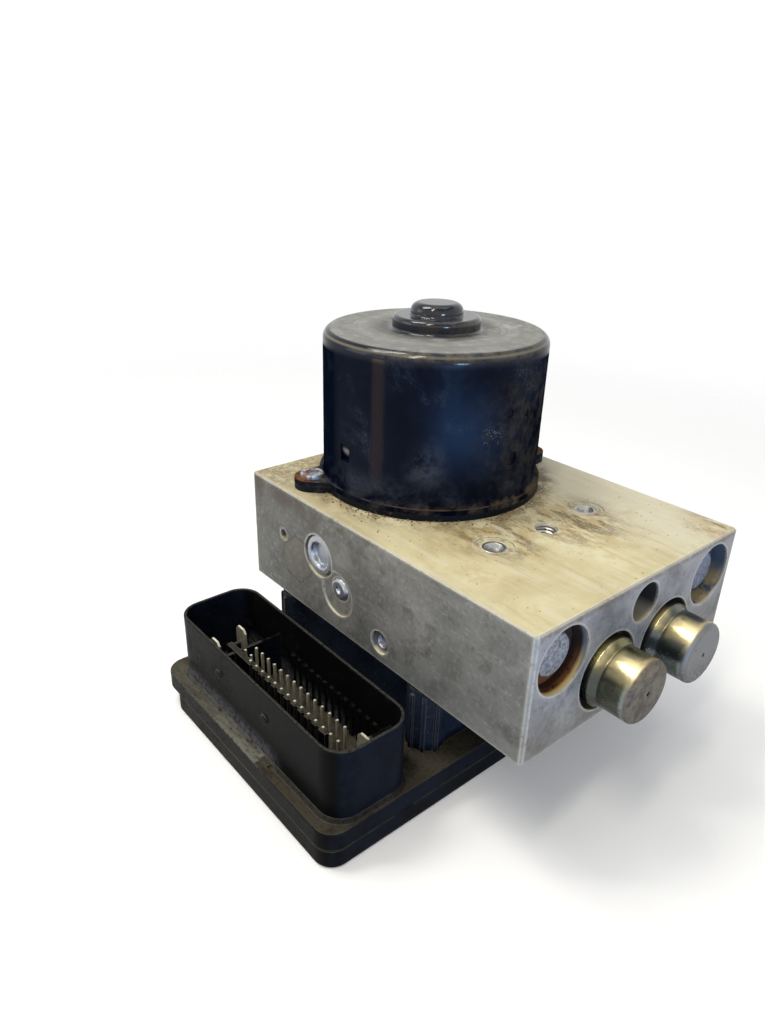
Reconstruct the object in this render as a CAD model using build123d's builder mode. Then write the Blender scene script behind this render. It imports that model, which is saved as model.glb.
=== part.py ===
from build123d import *
from math import atan2, cos, degrees, radians, sin
import os

# Hydraulic unit of a vehicle's anti-lock brakes: a pump motor on top of an aluminium valve
# block, with the electronic control unit and its upright connector shroud underneath.
# Millimetres. +Z is up, along the motor's axis. +X points to the two accumulator caps, and
# -Y to the connector. The origin is where the motor's axis meets the plane that the control
# unit's cover stands on.

os.makedirs("parts", exist_ok=True)

UP, DOWN = (0, 0, 1), (0, 0, -1)
FRONT, BACK = (0, -1, 0), (0, 1, 0)
NOSE, TAIL = (1, 0, 0), (-1, 0, 0)

# ---- Heights of the stack, from the ground up
cover_height = 7.2
rim_height = 6.8
housing_height = 24.8
block_height = 43.7

# ---- Fits
seat_gap = 0.02
running_gap = 0.03
loose_gap = 0.3
overshoot = 1.0

# ---- Valve block
block_length = 140.0
block_width = 104.5
motor_end_margin = 1.1
block_chamfer = 0.9
block_edge_break = 0.4

# ---- Pump motor
can_radius = 40.1
can_wall = 1.9
can_height = 56.3
can_shoulder = 3.4
can_flange_reach = 1.5
can_flange_thickness = 1.8
can_flange_bend = 0.8
shield_thickness = 2.2
crown_radius = 15.6
crown_height = 4.6
dome_radius = 9.3
dome_height = 4.3
dome_round = 3.0
crown_round = 1.6
crown_crease = 0.8
ear_angles = (75.5, 247.0)
ear_radius = 6.6
ear_root_radius = 12.5
ear_root_inset = 0.1
head_clearance = 0.2
motor_screw_radius = 2.5
motor_screw_head_radius = 4.3
motor_screw_head_height = 1.5
motor_screw_grip = 12.0
motor_screw_recess = 1.0
motor_screw_round = 0.5
# Azimuth, height above the block, radius and depth of each stake in the can's side.
can_stakes = (
    (-4.0, 35.5, 1.5, 0.5),
    (8.3, 34.2, 1.3, 0.5),
    (0.0, 19.2, 2.4, 0.7),
    (-10.2, 6.7, 1.0, 0.5),
)
lance_angle = -90.5
lance_height = 17.8
lance_width = 4.8
lance_tall = 6.0
lance_depth = 0.9
lance_lean = 14.0
motor_seal_inset = 4.2
motor_seal_width = 2.4
motor_seal_height = 1.4

shaft_radius = 4.0
upper_journal_radius = 3.0
lower_journal_radius = 5.0
upper_bush_height = 3.6
roller_radius = 1.25
roller_count = 8
roller_length = 6.0
bearing_cup_wall = 2.0
bearing_cup_height = 7.2
shield_boss_wall = 2.2
shield_boss_lip = 1.2
shield_boss_round = 0.8
bush_round = 0.8
bush_land = 1.0

core_length = 27.0
core_base = 19.0
core_slots = 12
slot_width = 4.2
slot_root_radius = 15.5
tooth_height = 2.6
air_gap = 0.8
end_turn_height = 5.0
end_turn_inset = 3.98
end_turn_round = 2.0
winding_round = 1.0
commutator_radius = 11.5
commutator_base = 3.6
commutator_cut = 0.7
magnet_thickness = 6.4
magnet_length = 33.0
magnet_base = 16.0
magnet_arc = 140.0
magnet_middles = (90.0, 270.0)

brush_plate_gap = 2.2
brush_plate_eye = 2.0
brush_plate_thickness = 2.4
brush_width = 6.0
brush_height = 6.4
brush_length = 12.0
brush_guide_wall = 1.2
brush_guide_length = 16.0
brush_guide_gap = 2.0
brush_spring_thickness = 0.5

motor_pin_radius = 1.2
motor_pin_pitch = 5.0
lead_sleeve_radius = 4.6
lead_sleeve_proud = 1.5
lead_sleeve_reach = 6.0
lead_pin_reach = 4.0
lead_x = -20.5

# ---- Return pump, driven by the motor's eccentric
pump_axis_depth = 18.5
eccentricity = 1.1
eccentric_radius = 5.6
eccentric_length = 9.0
needle_radius = 1.0
needle_count = 10
ring_wall = 1.9
chamber_margin = 0.6
piston_radius = 3.0
piston_length = 14.0
piston_tip_gap = 0.15
sleeve_radius = 6.5
sleeve_wall_end = 3.0
sleeve_start = 14.0
sleeve_round = 0.5
piston_round = 0.4
pump_plug_radius = 8.0
pump_plug_cup_radius = 4.8
pump_plug_cup_depth = 2.0
pump_plug_thickness = 4.2
pump_plug_recess = 0.5
pump_plug_round = 1.2
pump_plug_cup_round = 1.0
pump_plug_cup_taper = 0.6
pump_spring_turns = 4
pump_spring_wire = 0.5
pump_spring_gap = 0.2

# ---- Low-pressure accumulators
accumulator_pitch = 30.6
accumulator_drop = 27.4
accumulator_bore_radius = 10.0
accumulator_bore_depth = 36.0
accumulator_mouth_radius = 13.3
accumulator_mouth_depth = 7.0
cap_radius = 10.4
cap_wall = 1.2
cap_reach = 14.0
cap_skirt_radius = 11.6
cap_skirt_length = 3.6
cap_round = 1.6
cap_skirt_round = 0.8
cap_waist_round = 1.2
cap_vent_radius = 0.7
cap_flange_thickness = 1.6
circlip_thickness = 1.2
circlip_width = 2.1
circlip_bite = 0.7
circlip_opening = 7.0
accumulator_piston_length = 11.0
accumulator_piston_wall = 1.8
accumulator_piston_round = 0.8
seal_section = 1.7
accumulator_spring_radius = 7.0
accumulator_spring_wire = 1.4
accumulator_spring_turns = 5

# ---- Damper chambers and the other closed drillings
damper_y = 38.8
damper_drop = 13.2
damper_radius = 11.0
damper_depth = 30.0
damper_seat_depth = 9.0
damper_plug_thickness = 3.6
damper_button_radius = 6.6
damper_button_depth = 3.3
damper_button_round = 0.5
damper_button_taper = 0.8
damper_seat_width = 2.0
damper_rim_round = 0.8
bush_drop = 9.2
bush_radius = 6.7
bush_depth = 24.0
thread_x = 57.7
thread_radius = 3.4
thread_mouth_radius = 4.1
thread_depth = 16.0
gallery_plug_x = 56.0
gallery_plug_pitch = 47.0
gallery_plug_radius = 4.0
gallery_plug_length = 6.0
gallery_cup_radius = 3.0
gallery_cup_depth = 1.5
gallery_cup_taper = 0.7
gallery_plug_round = 0.4
gallery_spotface_radius = 6.6
gallery_spotface_depth = 0.35
gallery_drill_radius = 2.5
gallery_drill_depth = 22.0
dome_plug_x = 12.5
dome_plug_drop = 26.5
dome_plug_radius = 4.4
dome_plug_length = 5.0
dome_plug_rise = 1.0
dome_plug_round = 1.6
dome_plug_pit_radius = 1.4
dome_plug_pit_depth = 0.9
dome_plug_pit_taper = 0.5
dome_plug_pit_round = 0.3
dome_spotface_x = 11.3
dome_spotface_drop = 28.8
dome_spotface_radius = 8.4
dome_spotface_depth = 0.7
small_plug_x = 35.0
small_plug_drop = 36.1
small_plug_radius = 4.3
small_plug_length = 5.0
small_plug_recess = 1.1
small_plug_round = 0.7
small_plug_cup_radius = 2.3
small_plug_cup_depth = 1.3
small_plug_cup_taper = 0.5
small_plug_cup_round = 0.4
locating_hole_x = -22.1
locating_hole_drop = 18.8
locating_hole_radius = 2.1
locating_hole_depth = 6.0
locating_hole_point = 1.0

# ---- Brake-pipe ports on the end face away from the caps
wheel_port_radius = 4.5
wheel_port_depth = 11.0
wheel_port_pitch = 25.0
wheel_port_count = 4
wheel_port_drop = 11.5
master_port_radius = 5.5
master_port_depth = 12.0
master_port_pitch = 50.0
master_port_drop = 30.0
port_chamfer = 0.7
port_seat_radius = 1.7
port_seat_depth = 6.0

# ---- Solenoid valves
valve_columns = 4
valve_pitch_x = 20.0
valve_rows_y = 40.0
valve_field_x = 14.65
valve_stem_radius = 5.4
valve_stem_height = 12.0
valve_collar_radius = 6.4
valve_collar_height = 2.0
valve_dome_radius = 4.3
valve_dome_wall = 0.5
valve_dome_drop = 19.0
valve_dome_round = 1.5
valve_bore_radius = 1.3
plunger_length = 11.0
plunger_pin_radius = 1.0
plunger_round = 0.5
plunger_stroke = 0.3

# ---- Control unit
rim_left = -39.5
rim_right = 66.8
rim_front = -97.2
rim_back = 54.0
rim_corner = 7.0
rim_round = 0.5
tray_wall = 2.6
floor_thickness = 2.5
chamber_left = -28.8
chamber_right = 57.6
chamber_front = -47.6
chamber_back = 47.6
chamber_wall = 2.4
chamber_corner = 4.0
column_radius = 6.9
column_boss_radius = 4.3
column_foot_radius = 5.5
column_left = -21.9
column_right = 51.8
column_y = 45.2
rib_count = 3
rib_spread = 35.0
rib_width = 1.4
rib_reach = 0.9
rib_drop = 1.6
ecu_screw_radius = 2.5
ecu_screw_head_radius = 4.2
ecu_screw_head_height = 3.4
ecu_screw_recess = 2.2
ecu_screw_grip = 12.0
ecu_screw_round = 0.6
ecu_screw_hole_spare = 1.0
ecu_seal_height = 1.1
ecu_seal_width = 1.6

shroud_left = -33.6
shroud_right = 64.8
shroud_front = -92.7
shroud_back = -62.2
shroud_height = 26.5
shroud_wall = 1.2
shroud_corner = 8.4
shroud_foot = 1.2
shroud_round = 0.45
knob_x = (-2.5, 26.7)
knob_drop = 10.5
knob_radius = 1.7
knob_reach = 0.6
knob_round = 0.3

pin_size = 0.8
pin_pitch = 3.94
partition_y = -81.55
partition_thickness = 2.2
partition_height = 17.2
partition_left = -15.0
partition_right = 45.7
# Row's y, the pins' reach above the rim, the first pin's number and the count of pins.
pin_rows = ((-79.0, 22.3, 0, 14), (-79.0, 17.0, -2, 2), (partition_y, 18.2, 0, 14))
groove_width = 1.6
groove_depth = 0.7
web_thickness = 1.2
web_x = (-9.7, 54.6)
web_height = 16.5
comb_height = 12.5
comb_width = 1.8
comb_depth = 1.2
tab_left = 24.7
tab_right = 31.0
tab_depth = 2.4
tab_height = 0.8
blade_width = 6.3
blade_thickness = 0.8
blade_tip = 1.4
blade_x = (-13.8, 58.4)
# Row's y and the blades' reach above the rim.
blade_rows = ((-77.0, 22.6), (-87.6, 21.8))

cover_left_inset = 6.0
cover_inset = 0.15
cover_corner = 6.5
cover_floor = 2.0
cover_wall = 2.0
cover_edge = 0.6
joint_bevel = 0.35
board_thickness = 1.6
board_drop = 2.9
board_gap = 1.0
coil_radius = 8.6
coil_height = 19.0

# ---- Levels and places that follow
flange_top = cover_height + rim_height
block_bottom = flange_top + housing_height
block_top = block_bottom + block_height
can_flange_radius = can_radius + can_flange_reach
ear_distance = can_radius + can_flange_bend + head_clearance + motor_screw_head_radius
ear_root_distance = can_flange_radius - ear_root_radius - ear_root_inset
tail_x = -can_flange_radius - motor_end_margin
nose_x = tail_x + block_length
side_y = block_width / 2
shield_top = block_top + shield_thickness
can_top = block_top + can_height
crown_top = can_top + crown_height
dome_top = crown_top + dome_height
can_inner = can_radius - can_wall
motor_seal_radius = can_inner - motor_seal_inset
brush_plate_radius = can_inner - brush_plate_gap
dome_inner = dome_radius - can_wall
pump_z = block_top - pump_axis_depth
accumulator_z = block_top - accumulator_drop
accumulator_y = accumulator_pitch / 2
damper_z = block_top - damper_drop


def around(out):
    """A direction square to out, in which a turned outline's radius is measured."""
    return Vector(0, 0, 1) if abs(out[0]) > 0.5 else Vector(1, 0, 0)


def turn(outline, base=(0, 0, 0), out=UP, mode=Mode.ADD):
    """Revolve (radius, height) or (radius, height, rounding) points about the line from base along out."""
    radial = around(out)
    plane = Plane(origin=base, x_dir=radial, z_dir=radial.cross(Vector(*out)))
    points = [point[:2] for point in outline]
    rounding = [point[2] if len(point) > 2 else 0 for point in outline]
    with BuildSketch(plane) as section:
        with BuildLine():
            FilletPolyline(*points, radius=rounding, close=True)
        make_face()
    revolve(section.sketch, axis=Axis(base, out), mode=mode)


def bore(steps, mouth, out):
    """Cut a stepped bore. Each step is (radius, depth below the mouth), from the mouth inwards."""
    walls = [(radius, -depth) for radius, depth in steps]
    first, last = walls[0], walls[-1]
    end = [] if last[0] == 0 else [(0, last[1])]
    turn([(0, overshoot), (first[0], overshoot), *walls, *end], mouth, out, Mode.SUBTRACT)


def polar(distance, angle, height=0.0):
    """A point at a distance and an angle in degrees about the motor's axis."""
    return (distance * cos(radians(angle)), distance * sin(radians(angle)), height)


def box(left, right, front, back, bottom, top, mode=Mode.ADD):
    """A plain block between six limits."""
    centre = ((left + right) / 2, (front + back) / 2, (bottom + top) / 2)
    with Locations(centre):
        Box(right - left, back - front, top - bottom, mode=mode)


def plan(outline, inset=0.0, mode=Mode.ADD):
    """A round-cornered rectangle from (left, right, front, back, corner), drawn in by an inset."""
    left, right, front, back, corner = outline
    with Locations(((left + right) / 2, (front + back) / 2)):
        width = right - left - 2 * inset
        depth = back - front - 2 * inset
        RectangleRounded(width, depth, max(corner - inset, 0.5), mode=mode)


def spring(radius, wire, turns, start, end, out, base):
    """A compression coil of square wire about the line from base along out, between two heights."""
    length = end - start - wire
    foot = Vector(*base) + Vector(*out) * (start + wire / 2)
    with BuildLine() as path:
        Helix(pitch=length / turns, height=length, radius=radius - wire / 2, center=foot, direction=out)
    with BuildSketch(Plane(origin=path.line @ 0, x_dir=Vector(*out), z_dir=path.line % 0)) as section:
        Rectangle(wire, wire)
    sweep(section.sketch, path=path.line, is_frenet=True)


def save(part, name):
    """Label a finished piece and write it under its own name."""
    part.label = name
    export_step(part, f"parts/{name}.step")


# ======== Motor sizes that follow from the shaft's line
roller_ring = lower_journal_radius + roller_radius + running_gap / 2
cup_bore = lower_journal_radius + 2 * roller_radius + running_gap
cup_radius = cup_bore + bearing_cup_wall
boss_inner = cup_radius + seat_gap
boss_radius = boss_inner + shield_boss_wall
boss_depth = bearing_cup_height + shield_boss_lip
needle_ring = eccentric_radius + needle_radius + running_gap / 2
ring_bore = eccentric_radius + 2 * needle_radius + running_gap
ring_radius = ring_bore + ring_wall
swept_radius = ring_radius + eccentricity
chamber_radius = swept_radius + chamber_margin
chamber_depth = pump_axis_depth + eccentric_length / 2 + chamber_margin
magnet_outer = can_inner - seat_gap
magnet_inner = magnet_outer - magnet_thickness
core_radius = magnet_inner - air_gap
end_turn_radius = core_radius - end_turn_inset
core_bottom = block_top + core_base
core_top = core_bottom + core_length
commutator_bottom = shield_top + commutator_base
commutator_top = core_bottom - end_turn_height - loose_gap
brush_plate_z = shield_top + seat_gap
brush_z = brush_plate_z + brush_plate_thickness + loose_gap
brush_inner = commutator_radius + running_gap


# ======== Motor can: one deep-drawn steel cup with its flange, ears and stepped crown
def eared_plate(radius):
    """Round plate with two ears for the motor's screws."""
    with BuildSketch() as plate:
        Circle(radius)
        for angle in ear_angles:
            with BuildSketch(mode=Mode.PRIVATE) as ear:
                with Locations(polar(ear_distance, angle)[:2]):
                    Circle(ear_radius)
                with Locations(polar(ear_root_distance, angle)[:2]):
                    Circle(ear_root_radius)
                make_hull()
            add(ear.sketch)
        with Locations(*[polar(ear_distance, angle)[:2] for angle in ear_angles]):
            Circle(motor_screw_radius + loose_gap, mode=Mode.SUBTRACT)
    return plate.sketch


with BuildPart() as motor_can:
    can_foot = shield_top + can_flange_thickness
    with BuildSketch(Plane.XY.offset(shield_top)):
        add(eared_plate(can_flange_radius))
        Circle(can_inner, mode=Mode.SUBTRACT)
    extrude(amount=can_flange_thickness)
    turn(
        [
            (can_inner, can_foot),
            (can_radius, can_foot),
            (can_radius, can_top, can_shoulder),
            (crown_radius, can_top, crown_crease),
            (crown_radius, crown_top, crown_round),
            (dome_radius, crown_top, crown_crease),
            (dome_radius, dome_top, dome_round),
            (0, dome_top),
            (0, dome_top - can_wall),
            (dome_inner, dome_top - can_wall, dome_round - can_wall),
            (dome_inner, crown_top - can_wall),
            (crown_radius - can_wall, crown_top - can_wall),
            (crown_radius - can_wall, can_top - can_wall),
            (can_inner, can_top - can_wall, can_shoulder - can_wall),
        ]
    )
    level = motor_can.edges().filter_by_position(Axis.Z, can_foot - seat_gap, can_foot + seat_gap)
    rings = level.filter_by(GeomType.CIRCLE)
    fillet(rings.filter_by(lambda edge: abs(edge.radius - can_radius) < seat_gap), can_flange_bend)
    for azimuth, height, radius, depth in can_stakes:
        spot = polar(can_radius, azimuth, block_top + height)
        bore([(radius, depth)], spot, polar(1, azimuth))
    lance_spot = polar(can_radius, lance_angle, block_top + lance_height)
    with Locations(Plane(origin=lance_spot, x_dir=UP, z_dir=polar(1, lance_angle))):
        with Locations(Rotation(0, -lance_lean, 0)):
            Box(lance_tall, lance_width, 2 * lance_depth, mode=Mode.SUBTRACT)
save(motor_can.part, "motor_can")

# ======== End shield under the can, with the drawn boss that holds the lower bearing
with BuildPart() as end_shield:
    with BuildSketch(Plane.XY.offset(block_top)):
        add(eared_plate(can_flange_radius))
    extrude(amount=shield_thickness)
    boss = [(0, -boss_depth), (boss_radius, -boss_depth, shield_boss_round), (boss_radius, 0), (0, 0)]
    turn(boss, (0, 0, block_top))
    bore([(boss_inner, shield_thickness + bearing_cup_height)], (0, 0, shield_top), UP)
    bore([(cup_bore, shield_thickness + boss_depth + overshoot)], (0, 0, shield_top), UP)
    bore([(lead_sleeve_radius + seat_gap, shield_thickness + overshoot)], (lead_x, 0, shield_top), UP)
save(end_shield.part, "end_shield")

with BuildPart() as motor_seal:
    half = motor_seal_width / 2
    turn(
        [
            (motor_seal_radius - half, block_top - motor_seal_height),
            (motor_seal_radius + half, block_top - motor_seal_height),
            (motor_seal_radius + half, block_top),
            (motor_seal_radius - half, block_top),
        ]
    )
save(motor_seal.part, "motor_seal")

with BuildPart() as motor_screws:
    head_seat = shield_top + can_flange_thickness
    for angle in ear_angles:
        turn(
            [
                (0, -motor_screw_grip),
                (motor_screw_radius, -motor_screw_grip),
                (motor_screw_radius, 0),
                (motor_screw_head_radius, 0),
                (motor_screw_head_radius, motor_screw_head_height, motor_screw_round),
                (0, motor_screw_head_height),
            ],
            polar(ear_distance, angle, head_seat),
        )
    for angle in ear_angles:
        with BuildSketch(Plane(polar(ear_distance, angle, head_seat + motor_screw_head_height))):
            RegularPolygon(motor_screw_radius, 6)
        extrude(amount=-motor_screw_recess, mode=Mode.SUBTRACT)
save(motor_screws.part, "motor_screws")

# ======== Field magnets, two curved ferrite shells against the can's wall
with BuildPart() as motor_magnets:
    with BuildSketch(Plane.XY.offset(block_top + magnet_base)):
        Circle(magnet_outer)
        Circle(magnet_inner, mode=Mode.SUBTRACT)
        reach = 2 * magnet_outer
        cut = (180.0 - magnet_arc) / 2
        for middle in magnet_middles:
            with BuildLine():
                Polyline(
                    (0, 0),
                    polar(reach, middle - cut)[:2],
                    polar(reach, middle + cut)[:2],
                    close=True,
                )
            make_face(mode=Mode.SUBTRACT)
    extrude(amount=magnet_length)
save(motor_magnets.part, "motor_magnets")

# ======== Armature
pump_end = pump_z - eccentric_length / 2
journal_bottom = block_top - boss_depth - running_gap
bush_bottom = crown_top - can_wall + loose_gap
with BuildPart() as rotor_shaft:
    turn(
        [
            (0, pump_z),
            (shaft_radius, pump_z),
            (shaft_radius, journal_bottom),
            (lower_journal_radius, journal_bottom),
            (lower_journal_radius, shield_top),
            (shaft_radius, shield_top),
            (shaft_radius, bush_bottom - loose_gap),
            (upper_journal_radius, bush_bottom - loose_gap),
            (upper_journal_radius, bush_bottom + upper_bush_height - loose_gap, loose_gap),
            (0, bush_bottom + upper_bush_height - loose_gap),
        ]
    )
    turn(
        [(0, 0), (eccentric_radius, 0), (eccentric_radius, eccentric_length), (0, eccentric_length)],
        (eccentricity, 0, pump_end),
    )
save(rotor_shaft.part, "rotor_shaft")

with BuildPart() as rotor_core:
    with BuildSketch(Plane.XY.offset(core_bottom)):
        Circle(core_radius)
        Circle(shaft_radius + seat_gap, mode=Mode.SUBTRACT)
        slot_length = core_radius - tooth_height - slot_root_radius
        with PolarLocations(slot_root_radius + slot_length / 2, core_slots):
            Rectangle(slot_length, slot_width, mode=Mode.SUBTRACT)
        with PolarLocations(core_radius - tooth_height, core_slots):
            Rectangle(4 * tooth_height, slot_width / 3, mode=Mode.SUBTRACT)
    extrude(amount=core_length)
save(rotor_core.part, "rotor_core")

with BuildPart() as rotor_windings:
    for low in (core_bottom - end_turn_height, core_top + loose_gap):
        high = low + end_turn_height - loose_gap
        turn(
            [
                (commutator_radius, low, winding_round),
                (end_turn_radius, low, end_turn_round),
                (end_turn_radius, high, end_turn_round),
                (commutator_radius, high, winding_round),
            ]
        )
    bar = end_turn_radius - 3 * loose_gap - slot_root_radius
    with BuildSketch(Plane.XY.offset(core_bottom - end_turn_height / 2)):
        with PolarLocations(slot_root_radius + loose_gap + bar / 2, core_slots):
            Rectangle(bar - 2 * loose_gap, slot_width - 2 * loose_gap)
    extrude(amount=core_length + end_turn_height)
save(rotor_windings.part, "rotor_windings")

with BuildPart() as commutator:
    turn(
        [
            (shaft_radius + seat_gap, commutator_bottom),
            (commutator_radius - commutator_cut, commutator_bottom),
            (commutator_radius - commutator_cut, commutator_top),
            (shaft_radius + seat_gap, commutator_top),
        ]
    )
    with BuildSketch(Plane.XY.offset(commutator_bottom)):
        Circle(commutator_radius)
        Circle(commutator_radius - 2 * commutator_cut, mode=Mode.SUBTRACT)
        with PolarLocations(commutator_radius, core_slots):
            Rectangle(3 * commutator_cut, commutator_cut, mode=Mode.SUBTRACT)
    extrude(amount=commutator_top - commutator_bottom)
save(commutator.part, "commutator")

# ======== Bearings
with BuildPart() as upper_bush:
    turn(
        [
            (upper_journal_radius + running_gap, bush_bottom),
            (dome_inner - seat_gap, bush_bottom),
            (dome_inner - seat_gap, bush_bottom + upper_bush_height - bush_land, bush_round),
            (upper_journal_radius + running_gap, bush_bottom + upper_bush_height - bush_land),
        ]
    )
save(upper_bush.part, "upper_bush")

with BuildPart() as bearing_cup:
    turn(
        [
            (cup_bore, block_top - bearing_cup_height),
            (cup_radius, block_top - bearing_cup_height),
            (cup_radius, block_top),
            (cup_bore, block_top),
        ]
    )
save(bearing_cup.part, "bearing_cup")

with BuildPart() as bearing_rollers:
    with BuildSketch(Plane.XY.offset(block_top - (bearing_cup_height + roller_length) / 2)):
        with PolarLocations(roller_ring, roller_count):
            Circle(roller_radius)
    extrude(amount=roller_length)
save(bearing_rollers.part, "bearing_rollers")

with BuildPart() as eccentric_needles:
    with BuildSketch(Plane((eccentricity, 0, pump_end + loose_gap))):
        with PolarLocations(needle_ring, needle_count):
            Circle(needle_radius)
    extrude(amount=eccentric_length - 2 * loose_gap)
save(eccentric_needles.part, "eccentric_needles")

with BuildPart() as eccentric_ring:
    turn(
        [(ring_bore, 0), (ring_radius, 0), (ring_radius, eccentric_length), (ring_bore, eccentric_length)],
        (eccentricity, 0, pump_end),
    )
save(eccentric_ring.part, "eccentric_ring")

# ======== Brush gear
brush_sides = (1, -1)
guide_inner = brush_inner + brush_guide_gap
guide_half = brush_width / 2 + loose_gap + brush_guide_wall
with BuildPart() as brush_plate:
    turn(
        [
            (commutator_radius + brush_plate_eye, brush_plate_z),
            (brush_plate_radius, brush_plate_z),
            (brush_plate_radius, brush_plate_z + brush_plate_thickness),
            (commutator_radius + brush_plate_eye, brush_plate_z + brush_plate_thickness),
        ]
    )
    floor_z = brush_plate_z + brush_plate_thickness
    for side in brush_sides:
        front, back = sorted((side * guide_inner, side * (guide_inner + brush_guide_length)))
        box(-guide_half, guide_half, front, back, floor_z, brush_z + brush_height + loose_gap)
        inner_half = guide_half - brush_guide_wall
        box(-inner_half, inner_half, front, back, floor_z, brush_z + brush_height + overshoot, Mode.SUBTRACT)
    bore([(lead_sleeve_radius + seat_gap, brush_plate_thickness + overshoot)], (lead_x, 0, floor_z), UP)
save(brush_plate.part, "brush_plate")

for side, name in zip(brush_sides, ("brush_back", "brush_front")):
    with BuildPart() as brush:
        front, back = sorted((side * brush_inner, side * (brush_inner + brush_length)))
        half = brush_width / 2
        box(-half, half, front, back, floor_z, floor_z + brush_height)
        turn(
            [
                (0, floor_z - overshoot),
                (commutator_radius + running_gap, floor_z - overshoot),
                (commutator_radius + running_gap, floor_z + brush_height + overshoot),
                (0, floor_z + brush_height + overshoot),
            ],
            mode=Mode.SUBTRACT,
        )
    save(brush.part, name)

with BuildPart() as brush_springs:
    behind = brush_inner + brush_length + seat_gap
    reach = guide_inner + brush_guide_length - behind
    for side in brush_sides:
        with BuildSketch(Plane.XY.offset(floor_z + brush_height / 4)):
            with BuildLine():
                Polyline(
                    (-brush_width / 2, side * (behind + reach)),
                    (0, side * (behind + brush_spring_thickness)),
                    (brush_width / 2, side * (behind + reach)),
                    (brush_width / 2 - brush_spring_thickness, side * (behind + reach)),
                    (0, side * (behind + 3 * brush_spring_thickness)),
                    (brush_spring_thickness - brush_width / 2, side * (behind + reach)),
                    close=True,
                )
            make_face()
        extrude(amount=brush_height / 2)
save(brush_springs.part, "brush_springs")

# ======== Motor leads, which pass down through the block to the circuit board
board_top = flange_top - floor_thickness - board_drop
board_bottom = board_top - board_thickness
lead_top = floor_z + lead_pin_reach
sleeve_top = floor_z + lead_sleeve_proud
sleeve_bottom = block_bottom - lead_sleeve_reach
with BuildPart() as lead_sleeve:
    radius = lead_sleeve_radius
    turn([(0, sleeve_bottom), (radius, sleeve_bottom), (radius, sleeve_top), (0, sleeve_top)], (lead_x, 0, 0))
    for side in (1, -1):
        spot = (lead_x, side * motor_pin_pitch / 2, sleeve_top)
        bore([(motor_pin_radius + seat_gap, sleeve_top - sleeve_bottom + overshoot)], spot, UP)
save(lead_sleeve.part, "lead_sleeve")

with BuildPart() as motor_pins:
    with BuildSketch(Plane.XY.offset(board_top)):
        with Locations(*[(lead_x, side * motor_pin_pitch / 2) for side in (1, -1)]):
            Circle(motor_pin_radius)
    extrude(amount=lead_top - board_top)
save(motor_pins.part, "motor_pins")

# ======== Return pump: for each side a sleeve, a piston, its spring and the closing plug
piston_start = swept_radius + piston_tip_gap
piston_end = piston_start + piston_length
plug_inner = side_y - pump_plug_recess - pump_plug_thickness
sleeve_end = plug_inner - seat_gap
spring_seat = sleeve_end - sleeve_wall_end
pump_sides = ((BACK, "back"), (FRONT, "front"))

for out, side in pump_sides:
    with BuildPart() as sleeve:
        turn(
            [
                (piston_radius + running_gap, sleeve_start),
                (sleeve_radius, sleeve_start, sleeve_round),
                (sleeve_radius, sleeve_end),
                (0, sleeve_end),
                (0, spring_seat),
                (piston_radius + running_gap, spring_seat),
            ],
            (0, 0, pump_z),
            out,
        )
    save(sleeve.part, f"pump_sleeve_{side}")
    with BuildPart() as piston:
        turn(
            [
                (0, piston_start),
                (piston_radius, piston_start, piston_round),
                (piston_radius, piston_end),
                (0, piston_end),
            ],
            (0, 0, pump_z),
            out,
        )
    save(piston.part, f"pump_piston_{side}")
    with BuildPart() as return_spring:
        spring(
            piston_radius - pump_spring_gap,
            pump_spring_wire,
            pump_spring_turns,
            piston_end + seat_gap,
            spring_seat - seat_gap,
            out,
            (0, 0, pump_z),
        )
    save(return_spring.part, f"pump_spring_{side}")
    with BuildPart() as plug:
        face = side_y - pump_plug_recess
        turn(
            [
                (0, plug_inner),
                (pump_plug_radius - seat_gap, plug_inner),
                (pump_plug_radius - seat_gap, face, pump_plug_round),
                (pump_plug_cup_radius, face, pump_plug_cup_round),
                (pump_plug_cup_radius - pump_plug_cup_taper, face - pump_plug_cup_depth, piston_round),
                (0, face - pump_plug_cup_depth),
            ],
            (0, 0, pump_z),
            out,
        )
    save(plug.part, f"pump_plug_{side}")

# ======== Accumulators: for each a piston with its seal, a spring and a vented cup cap
piston_seat = nose_x - accumulator_bore_depth
mouth_floor = nose_x - accumulator_mouth_depth
cap_seat = mouth_floor + seat_gap
cap_face = nose_x + cap_reach
clip_base = cap_seat + cap_flange_thickness + seat_gap
clip_groove_radius = accumulator_mouth_radius + circlip_bite
circlip_radius = clip_groove_radius - seat_gap
ring_groove = accumulator_bore_radius - seal_section
groove_mid = piston_seat + accumulator_piston_length / 2
piston_head = accumulator_bore_radius - running_gap
cup_depth = accumulator_piston_length - accumulator_piston_wall
accumulator_sides = ((-accumulator_y, "front"), (accumulator_y, "back"))

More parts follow.
